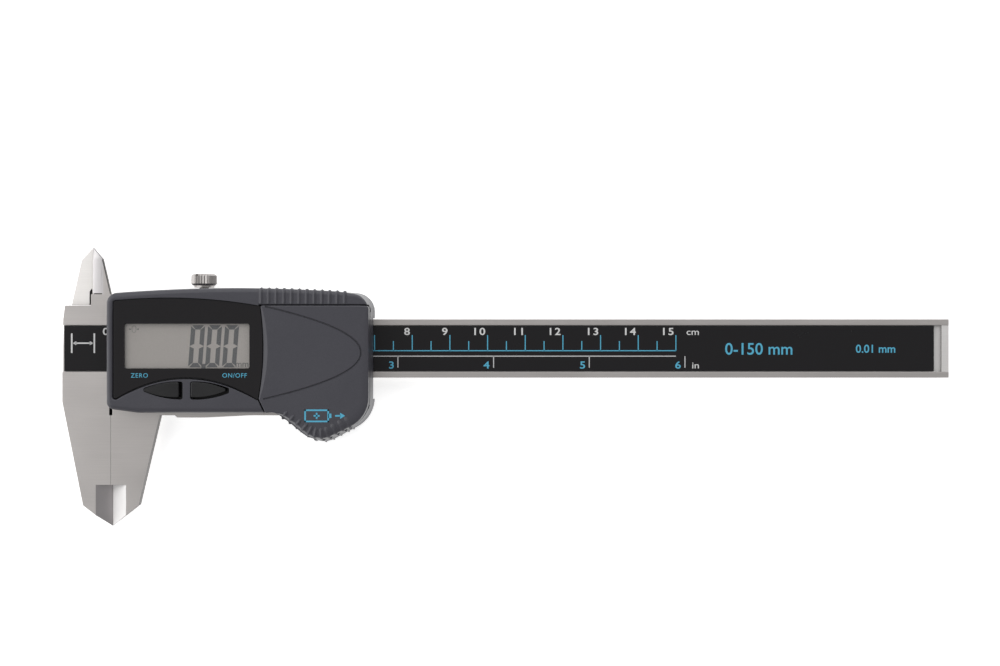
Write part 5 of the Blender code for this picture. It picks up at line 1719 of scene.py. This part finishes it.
@dataclass
class Window:
    """The polished window panel, its clear pane, and the display's figures behind it."""

    left: float = 2.65
    low: float = -13.4
    rise: float = 5.9
    arch_power: float = 2.05
    arch_steps: int = 28
    crown_steps: int = 24
    high_left: float = 12.4
    high_right: float = 11.1
    bow: float = 1.35
    corner: float = 0.55
    joint_gap: float = 0.1
    stations: tuple[tuple[float, ...], ...] = (
        (2.6, 8.0, 0.22, 0.55), (2.6, -9.0, 0.22, 0.55), (5.0, -12.0, 0.3, 0.3), (8.0, -10.5, 0.42, 0.2),
        (21.5, -7.5, 0.45, 0.15), (36.0, -11.0, 0.35, 0.15), (40.7, -12.5, 0.1, 0.05),
        (41.5, 5.0, 0.1, 0.05), (40.8, 10.8, 0.1, 0.06), (30.0, 13.0, 0.1, 0.12), (12.0, 13.0, 0.1, 0.15),
        (4.0, 12.4, 0.1, 0.4))
    film_front: float = 14.2
    edge: float = 0.12
    back: float = 13.4
    front: float = 15.1
    screen_low: tuple[float, float] = (5.5, -5.15)
    screen_high: tuple[float, float] = (38.05, 6.55)
    screen_corner: float = 0.55
    pane_gap: float = 0.03
    digits: int = 3
    digit_height: float = 11.0
    digit_width: float = 3.65
    digit_pitch: float = 4.42
    digit_left: float = 21.95
    digit_base: float = -4.85
    stroke: float = 1.15
    segment_gap: float = 0.045
    trim: float = 0.3
    slant: float = 0.075
    dot_place: tuple[float, float] = (-0.4, 0.3)
    figure_gap: float = 0.01
    figure_ink: float = 0.02
    unit_place: tuple[float, float] = (37.7, 0.1)
    unit_height: float = 1.7
    unit_weight: float = 0.02
    sign_centre: tuple[float, float] = (7.85, 5.1)
    sign_half: tuple[float, float] = (0.5, 0.85)
    sign_corner: float = 0.45
    sign_line: float = 0.1
    sign_head: tuple[tuple[float, float], ...] = ((-1.25, -0.25), (-0.6, 0.0), (-1.25, 0.25))
    ink: float = 0.015
    ink_gap: float = 0.005
    legend_height: float = 1.2
    legend_ends: tuple[float, float] = (7.2, 37.4)
    legend_line: float = -7.5
    legend_spacing: float = 1.12

    def outline(self) -> Points:
        """Return the panel's outline: an arch below, the bowed joint at right, a crown on top.

        Returns:
            The outline with rounded corners.
        """
        right_low = (float(BAY_EDGE.at(self.low)) - self.joint_gap, self.low)
        joint = BAY_EDGE.points(self.low, self.high_right, -self.joint_gap)
        below = arch((self.left, self.low), right_low, self.rise, self.arch_steps, self.arch_power)
        crown = arch(joint[-1], (self.left, self.high_left), self.bow, self.crown_steps)
        return subdivided(arc_outline(np.concatenate((
            with_radius(below, self.corner, self.corner / 2), with_radius(joint[1:], 0.0, self.corner / 2),
            with_radius(crown[1:], 0.0, self.corner)))))

    def screen(self) -> tuple[Points, Points]:
        """Return the corners of the clear screen."""
        return np.array(self.screen_low), np.array(self.screen_high)

    def build(self) -> None:
        """Make the panel, the pane, the figures and the printed legends."""
        low, high = self.screen()
        panel = plate("window_panel", self.outline(), [
            (0.0, self.back), *round_edge(self.edge, self.edge, self.front)])
        screen = rectangle(low, high, self.screen_corner)
        cut(panel, flared(screen, self.back - OVERRUN, self.front, self.edge / 2))
        settle(panel, Body.SLIDER, Slot.GLOSS_BLACK, GLOSS_PANEL, "display_window")
        inner = rectangle(low + self.pane_gap, high - self.pane_gap, self.screen_corner)
        pane = plate("window_pane", inner, [
            (0.0, self.film_front + self.edge), (0.0, self.front - self.edge),
            (self.edge / 2, self.front - self.edge / 2)])
        settle(pane, Body.SLIDER, Slot.GLOSS_BLACK, CLEAR_PANE, "display_window")
        film = plate("display_film", inner, [
            (self.edge, self.back + self.edge / 2), (0.0, self.back + self.edge), (0.0, self.film_front)])
        settle(film, Body.SLIDER, Slot.DISPLAY, DISPLAY)
        self.figures()
        legends = Print(self.front + self.ink_gap, self.ink)
        for word, x, justify in zip(("ZERO", "ON/OFF"), self.legend_ends, (Justify.LEFT, Justify.RIGHT)):
            legends.letters(word, self.legend_height, (x, self.legend_line), justify,
                            spacing=self.legend_spacing)
        settle(legends.build("key_legends"), Body.SLIDER, Slot.GLOSS_BLACK, CYAN_INK)

    def segments(self, left: float) -> Points:
        """Return the six outer segments of a figure with mitred ends, leaning by the slant.

        Args:
            left: where the figure starts at its foot.

        Returns:
            Rows of segments, columns of four corners, and their x and y.
        """
        wide, tall, stroke, gap = self.digit_width, self.digit_height, self.stroke, self.segment_gap
        middle = tall / 2
        flat = [(self.trim, tall), (stroke + gap, tall - stroke), (wide - stroke - gap, tall - stroke),
                (wide - self.trim, tall)]
        upright = [(0.0, tall - self.trim), (0.0, middle + gap), (stroke, middle + stroke / 2 + gap),
                   (stroke, tall - stroke - gap)]
        upper = np.array([flat, upright, [(wide - x, y) for x, y in upright]])
        shapes = np.concatenate((upper, upper * (1, -1) + (0.0, tall)))
        shapes[..., 0] += left + self.slant * shapes[..., 1]
        return shapes + (0.0, self.digit_base)

    def figures(self) -> None:
        """Make the display's reading, its unit and a faint sign, on the display glass."""
        level = self.film_front + self.figure_gap
        reading = Print(level, self.figure_ink)
        for number in range(self.digits):
            reading.shapes(self.segments(self.digit_left + number * self.digit_pitch))
        dot = np.array([[-0.5, -0.5], [0.5, -0.5], [0.5, 0.5], [-0.5, 0.5]]) * self.stroke
        foot = np.array([self.digit_left + self.digit_pitch, self.digit_base])
        reading.shapes((dot + (foot + self.dot_place))[None])
        settle(reading.build("display_reading"), Body.SLIDER, Slot.DISPLAY, SEGMENT)
        faint = Print(level, self.ink)
        place = (self.unit_place[0], self.digit_base + self.unit_place[1])
        faint.letters("mm", self.unit_height, place, Justify.RIGHT, self.unit_weight)
        centre, half, head = np.array(self.sign_centre), np.array(self.sign_half), np.array(self.sign_head)
        ring = centre + rectangle(-half, half, self.sign_corner, 2)
        faint.bars(ring, np.roll(ring, -1, axis=0), self.sign_line)
        faint.shapes(np.stack((centre + head, centre - head)))
        settle(faint.build("display_signs"), Body.SLIDER, Slot.DISPLAY, FAINT_SEGMENT)


@dataclass
class Keys:
    """The two leaf-shaped keys below the window."""

    middle: float = 21.275
    spacing: float = 3.1
    length: float = 9.0
    centre_y: float = -10.68
    half_height: float = 1.95
    half_tip: float = 0.3
    bow: float = 0.55
    bow_steps: int = 14
    least_share: float = 0.12
    corner: float = 0.4
    gap: float = 0.12
    right_room: float = 0.85
    lower_room: float = 0.45
    tip_round: float = 0.4
    rim: float = 0.15
    edge: float = 0.3
    drop: float = 0.25
    flange: float = 0.7
    flange_thickness: float = 0.7
    cap_lift: float = 0.1

    def half_at(self, x: Points) -> Points:
        """Return a share of the key's half height that falls from its inner end to its tip."""
        share = (np.abs(x - self.middle) - self.spacing / 2) / self.length
        return np.clip(1.0 - share, self.least_share, 1.0)

    def outline(self, side: int, right: float = 0.0, low: float = 0.0) -> Points:
        """Return a leaf outline between two arches.

        Args:
            side: -1 for the left key and 1 for the right one.
            right: how far its right end is moved out.
            low: how far its lower side is moved down, apart from the tip of the left key.

        Returns:
            The outline with rounded corners.
        """
        near = self.middle + side * self.spacing / 2 + right * (side < 0)
        far = self.middle + side * (self.spacing / 2 + self.length) + right * (side > 0)
        tip_low = self.half_tip + low * (side > 0)
        tip_round = self.tip_round if right and side > 0 else self.half_tip / 2
        upper = arch((near, self.centre_y + self.half_height), (far, self.centre_y + self.half_tip),
                     self.bow, self.bow_steps)
        lower = arch((far, self.centre_y - tip_low), (near, self.centre_y - self.half_height - low),
                     -self.bow, self.bow_steps)
        corners = np.concatenate((with_radius(upper, self.corner, tip_round),
                                  with_radius(lower, tip_round, self.corner)))
        return subdivided(arc_outline(corners if side < 0 else corners[::-1]), OUTLINE_STEP / 2)

    def pocket(self, side: int) -> Points:
        """Return the outline of a key's pocket, which is wider at the key's right end and lower side."""
        return grown(self.outline(side, self.right_room, self.lower_room), self.gap)

    def build(self) -> None:
        """Make both keys with a rounded edge round a flat face, and a flange behind the casing."""
        for body, side in ((Body.LEFT_BUTTON, -1), (Body.RIGHT_BUTTON, 1)):
            node = body.value
            low, high = drawing_box(node)
            outline = self.outline(side)
            width = self.edge * self.half_at(outline[:, 0])
            key = plate(f"{node}_cap", outline, [
                (0.0, low[2] + self.cap_lift), *round_edge(width, self.drop, high[2])])
            flange = plate("flange", grown(outline, self.flange),
                           [(0.0, low[2]), (0.0, low[2] + self.flange_thickness)])
            join(key, flange)
            settle(key, body, Slot.KEY, KEY_PLASTIC, node)


WINDOW = Window()
KEYS = Keys()


@dataclass
class BatteryBay:
    """The sliding battery cover with its thumb rest and engraved line, and the cell under it."""

    back: float = 11.8
    lip_back: float = 12.7
    top: float = 11.3
    gap: float = 0.1
    step: float = 0.05
    start: float = 41.9
    end: float = 69.2
    corner: float = 0.45
    joint_round: float = 1.0
    joint_edge: float = 0.25
    joint_slope: float = 0.42
    stations: tuple[tuple[float, ...], ...] = (
        (42.5, 11.3, 0.35, 0.3, 0.0), (66.0, 11.3, 0.4, 0.3, 0.0), (69.2, 10.3, 0.6, 0.3, 0.1),
        (69.2, 4.0, 2.0, 0.4, 0.17), (69.2, -9.0, 2.2, 0.5, 0.17), (64.0, -20.5, 2.4, 0.7, 0.2),
        (57.5, -23.3, 2.3, 0.8, 0.25), (53.5, -22.8, 2.0, 0.7, 0.8), (50.0, -20.5, 1.4, 0.6, 1.0),
        (46.9, -17.8, 0.9, 0.5, 0.8), (45.2, -16.8, 0.5, 0.4, 0.2),
        (42.6, -16.6, 0.3, 0.3, 0.0), (41.0, -14.5, 0.25, 0.2, 0.0))
    side_wall: float = 2.0
    top_wall: float = 1.6
    guide_half: float = 0.4
    guide_depth: float = 0.7
    crescent: float = 0.95
    crescent_middle: float = -0.9
    crescent_half: float = 12.2
    line_ends: tuple[float, float] = (11.0, -13.1)
    line_apex: tuple[float, float] = (67.1, -1.0)
    line_curve: float = 0.142
    line_power: float = 2.08
    line_width: float = 0.45
    line_depth: float = 0.34
    line_over: float = 0.2
    line_steps: int = 120
    sign_low: tuple[float, float] = (52.6, -18.9)
    sign_size: tuple[float, float] = (6.0, 2.9)
    sign_stroke: float = 0.42
    sign_plus: float = 0.8
    nub_low: float = 0.3
    nub_height: float = 0.4
    arrow_gap: float = 1.8
    arrow_tail: float = 1.4
    arrow_head: tuple[tuple[float, float], ...] = ((1.3, -0.8), (2.6, 0.0), (1.3, 0.8))
    ink: float = 0.015
    ink_gap: float = 0.005
    ribs: int = 11
    rib_first: float = 46.7
    rib_pitch: float = 2.03
    rib_reach: float = 0.5
    rib_half: float = 0.6
    rib_height: float = 0.38
    rib_foot: float = 13.0
    rib_run: float = 0.4
    cell_edge: float = 0.35
    cell_cap: tuple[tuple[float, float], ...] = ((1.6, 0.0), (1.2, 0.2), (1.0, 0.55), (0.4, 0.55))
    plus_arm: float = 2.2
    plus_half: float = 0.35
    plus_depth: float = 0.08

    def outline(self) -> Points:
        """Return the cover's outline: the bowed joint at left and the thumb rest below.

        Returns:
            The outline, anticlockwise from the top of the joint.
        """
        joint = BAY_EDGE.points(BAY_EDGE.foot, self.top, self.gap)[::-1]
        foot = (joint[-1, 0] + BAY_EDGE.foot_run, THUMB_REST.level, self.corner)
        return subdivided(arc_outline([
            *with_radius(joint, self.corner, self.joint_round).tolist(), foot, *THUMB_REST.cover,
            (self.end, self.top, 2 * self.corner),
        ]), OUTLINE_STEP / 2)

    def edges(self, outline: Points) -> tuple[Points, Points, Points, Points]:
        """Return how the cover's front edge is eased at each point of its outline.

        Args:
            outline: the cover's outline.

        Returns:
            The width of the easing, its drop, the draft of the wall below it, and whether it is a
            flat bevel, as at the joint.
        """
        x, y = outline.T
        width, drop, draft = carried(outline, self.stations)
        joint = (x < BAY_EDGE.at(y) + 2 * self.gap) & (y > BAY_EDGE.foot)
        bulge = np.clip(1 - ((y - self.crescent_middle) / self.crescent_half) ** 2, 0.0, 1.0)
        width = np.where(joint, self.joint_edge + self.crescent * bulge, width)
        drop = np.where(joint, self.joint_slope * width, drop)
        return width, drop, np.where(joint, 0.0, draft), joint

    def build(self) -> None:
        """Make the cover and the coin cell."""
        front = drawing_box("battery_cover")[1][2]
        outline = self.outline()
        width, drop, draft, bevel = self.edges(outline)
        rings = [(self.step, self.lip_back), (0.0, self.lip_back + self.step)]
        shares = np.linspace(0.0, 1.0, EDGE_STEPS + 1)
        for share, (inset, height) in zip(shares, round_edge(width, drop, front)):
            rings.append((draft + np.where(bevel, share * width, inset),
                          np.where(bevel, front - drop * (1 - share), height)))
        cover = plate("battery_cover_shell", outline, rings)
        skirt = plate("skirt", arc_outline([
            (self.start, self.top - self.step, 0.0), (self.start, THUMB_REST.level + 2 * self.step, 0.0),
            *((x - 2 * self.step, y + 3 * self.step, radius) for x, y, radius in THUMB_REST.cover),
            (self.end - 2 * self.step, self.top - self.step, 0.0)]),
            [(0.0, self.back), (0.0, self.lip_back + OVERRUN / 2)])
        join(cover, skirt)
        inner_low = (self.start + self.side_wall, THUMB_REST.level + self.side_wall, self.back - OVERRUN)
        inner_high = (self.end - self.side_wall, self.top - self.side_wall, front - self.top_wall)
        cut(cover, block(inner_low, inner_high), self.line(front))
        join(cover, *self.guides(), *self.thumb_ribs(front, outline))
        settle(cover, Body.BATTERY_COVER, Slot.CASING, PLASTIC, "battery_cover")
        self.cell()
        self.sign(front)

    def sign(self, front: float) -> None:
        """Print a plain battery sign and an arrow that shows which way the cover slides.

        Args:
            front: the height of the cover's face.
        """
        sign = Print(front + self.ink_gap, self.ink)
        (left, low), (long, tall), stroke = self.sign_low, self.sign_size, self.sign_stroke
        corners = np.array([[0.0, 0.0], [long, 0.0], [long, tall], [0.0, tall]]) + (left, low)
        along = unit(np.roll(corners, -1, axis=0) - corners) * stroke / 2
        sign.bars(corners - along, np.roll(corners, -1, axis=0) + along, stroke)
        middle = np.array([left + long / 2, low + tall / 2])
        plus = self.sign_plus * np.eye(2)
        sign.bars(middle - plus, middle + plus, stroke)
        nub = np.array([[left + long + stroke, low + tall * self.nub_low]])
        sign.bars(nub, nub + (0.0, tall * self.nub_height), 2 * stroke)
        tail = np.array([[left + long + self.arrow_gap, low + tall / 2]])
        sign.bars(tail, tail + (self.arrow_tail, 0.0), stroke)
        sign.shapes((np.array(self.arrow_head) + tail)[None])
        settle(sign.build("battery_sign"), Body.BATTERY_COVER, Slot.CASING, CYAN_INK)

    def line(self, front: float) -> Object:
        """Return the cutter of the engraved line, x = apex - curve |y - middle|^power.

        Args:
            front: the height of the cover's face.

        Returns:
            The line's groove, swept along it.
        """
        y = np.linspace(*self.line_ends, self.line_steps + 1)
        x = self.line_apex[0] - self.line_curve * np.abs(y - self.line_apex[1]) ** self.line_power
        path = np.stack((x, y, np.full_like(y, front)), axis=1)
        half, over = self.line_width / 2, self.line_over
        section = np.array([[-half, over], [-half, 0.0], [-half / 2, -self.line_depth],
                            [half / 2, -self.line_depth], [half, 0.0], [half, over]])
        return sweep("line", path, np.array([0.0, 0.0, 1.0]), section)

    def guides(self) -> list[Object]:
        """Return the two guide rails under the cover.

        Returns:
            The rails as blocks.
        """
        inset = self.side_wall / 2
        rails = []
        for y in (CASING.cell[1] - CASING.guide_reach, CASING.cell[1] + CASING.guide_reach):
            rails.append(block((self.start + inset, y - self.guide_half, CASING.deck_top - self.guide_depth),
                               (self.end - inset, y + self.guide_half, self.lip_back + OVERRUN / 2)))
        return rails

    def rib_places(self) -> tuple[Points, Points]:
        """Return where the ribs of the thumb rest cross its edge, at equal steps.

        Returns:
            The places, and the outward unit steps there.
        """
        outline = self.outline()
        above = outline[:, 1] > THUMB_REST.level
        first = np.argmin(np.abs(outline[:, 0] - self.rib_first) + self.end * above)
        order = np.roll(np.arange(len(outline)), -first)
        run = np.concatenate(([0.0], np.cumsum(np.linalg.norm(np.diff(outline[order], axis=0), axis=1))))
        data = np.column_stack((outline, unit(outward(outline))))[order]
        steps = self.rib_pitch * np.arange(self.ribs)
        x, y, out_x, out_y = (np.interp(steps, run, part) for part in data.T)
        return np.stack((x, y), axis=1), unit(np.stack((out_x, out_y), axis=1))

    def thumb_ribs(self, front: float, outline: Points) -> list[Object]:
        """Return the ribs of the thumb rest, each carried over the rounded edge.

        A rib runs in the plane of Z and of the outline's normal: in from the edge on the face,
        round the eased edge and down the wall.

        Args:
            front: the height of the cover's face.
            outline: the cover's outline.

        Returns:
            The ribs as closed sweeps.
        """
        width, drop, draft, _ = self.edges(outline)
        angle = np.linspace(math.pi / 2, 0.0, RIB_STEPS + 1)
        ribs = []
        for place, flat_out in zip(*self.rib_places()):
            near = int(np.argmin(np.linalg.norm(outline - place, axis=1)))
            wide, deep, lean = width[near], drop[near], draft[near]
            out = np.append(flat_out, 0.0)
            bend = wide * (1 - np.cos(angle))
            inset = np.concatenate(([self.rib_reach + wide], bend, [0.0, -lean])) + lean
            height = np.concatenate(([front], front - deep * (1 - np.sin(angle)),
                                     [self.rib_foot + self.rib_run, self.rib_foot]))
            path = np.append(place, 0.0) - inset[:, None] * out + height[:, None] * np.array([0.0, 0.0, 1.0])
            taper = np.concatenate(([RIB_TIP], np.ones(len(inset) - 2), [RIB_TIP]))
            across = np.array([-out[1], out[0], 0.0])
            ribs.append(sweep("thumb_rib", path, across, ridge(-self.rib_height, self.rib_half), taper))
        return ribs

    def cell(self) -> None:
        """Make the coin cell: a turned can with a rolled rim and a raised cap behind, and a plus sign."""
        low, high, middle, radius = round_box("coin_cell")
        edge = self.cell_edge
        cap = [(radius - inset, low[2] + rise) for inset, rise in self.cell_cap]
        profile = [*cap, (radius, cap[-1][1] + edge), (radius, high[2] - edge),
                   (radius - edge / 3, high[2] - edge / 3), (radius - edge, high[2])]
        cell = turned("coin_cell_can", profile, (middle[0], middle[1], 0.0), sides=2 * ROUND_SIDES)
        for wide, tall in ((self.plus_arm, self.plus_half), (self.plus_half, self.plus_arm)):
            cut(cell, block((middle[0] - wide, middle[1] - tall, high[2] - self.plus_depth),
                            (middle[0] + wide, middle[1] + tall, high[2] + OVERRUN)))
        settle(cell, Body.SLIDER, Slot.BRIGHT_STEEL, BRIGHT_STEEL, "coin_cell")


CASING = Casing()
BAY = BatteryBay()


@dataclass
class InnerWorks:
    """The pieces whose own shape is right, dressed as they are."""

    finishes: tuple[tuple[Finish, tuple[str, ...]], ...] = (
        (SCALE_FOIL, ("scale_label",)),
        (BOARD, ("scale_board", "main_board", "read_head_board")),
        (BRASS, ("gib", "lock_pad", "negative_contact", "positive_contact")),
        (BRIGHT_STEEL, ("gib_screw_1", "gib_screw_2", "housing_screw_1", "housing_screw_2",
                        "housing_screw_3", "housing_screw_4", "quartz_crystal")),
        (RUBBER, ("window_gasket", "zebra_strip_upper", "zebra_strip_lower", "key_mat", "battery_seal")),
        (DISPLAY, ("lcd_glass",)),
        (CHIP, ("measuring_chip",)),
        (PLASTIC, ("battery_tray",)),
        (FELT, ("beam_wiper_left", "beam_wiper_right")),
    )

    def dress(self) -> None:
        """Give each node its finish."""
        for finish, nodes in self.finishes:
            for node in nodes:
                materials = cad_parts[node].data.materials
                materials.clear()
                materials.append(finish.material())
                LOG.info("%s is dressed in %s", node, finish.name)


def main() -> None:
    """Build the stage and the caliper's sub-assemblies in order."""
    logging.basicConfig(level=logging.INFO, format="%(message)s")
    Studio().build()
    Beam().build()
    Slide().build()
    LockScrew().build()
    CASING.build()
    WINDOW.build()
    KEYS.build()
    BAY.build()
    InnerWorks().dress()


if __name__ == "__main__":
    main()
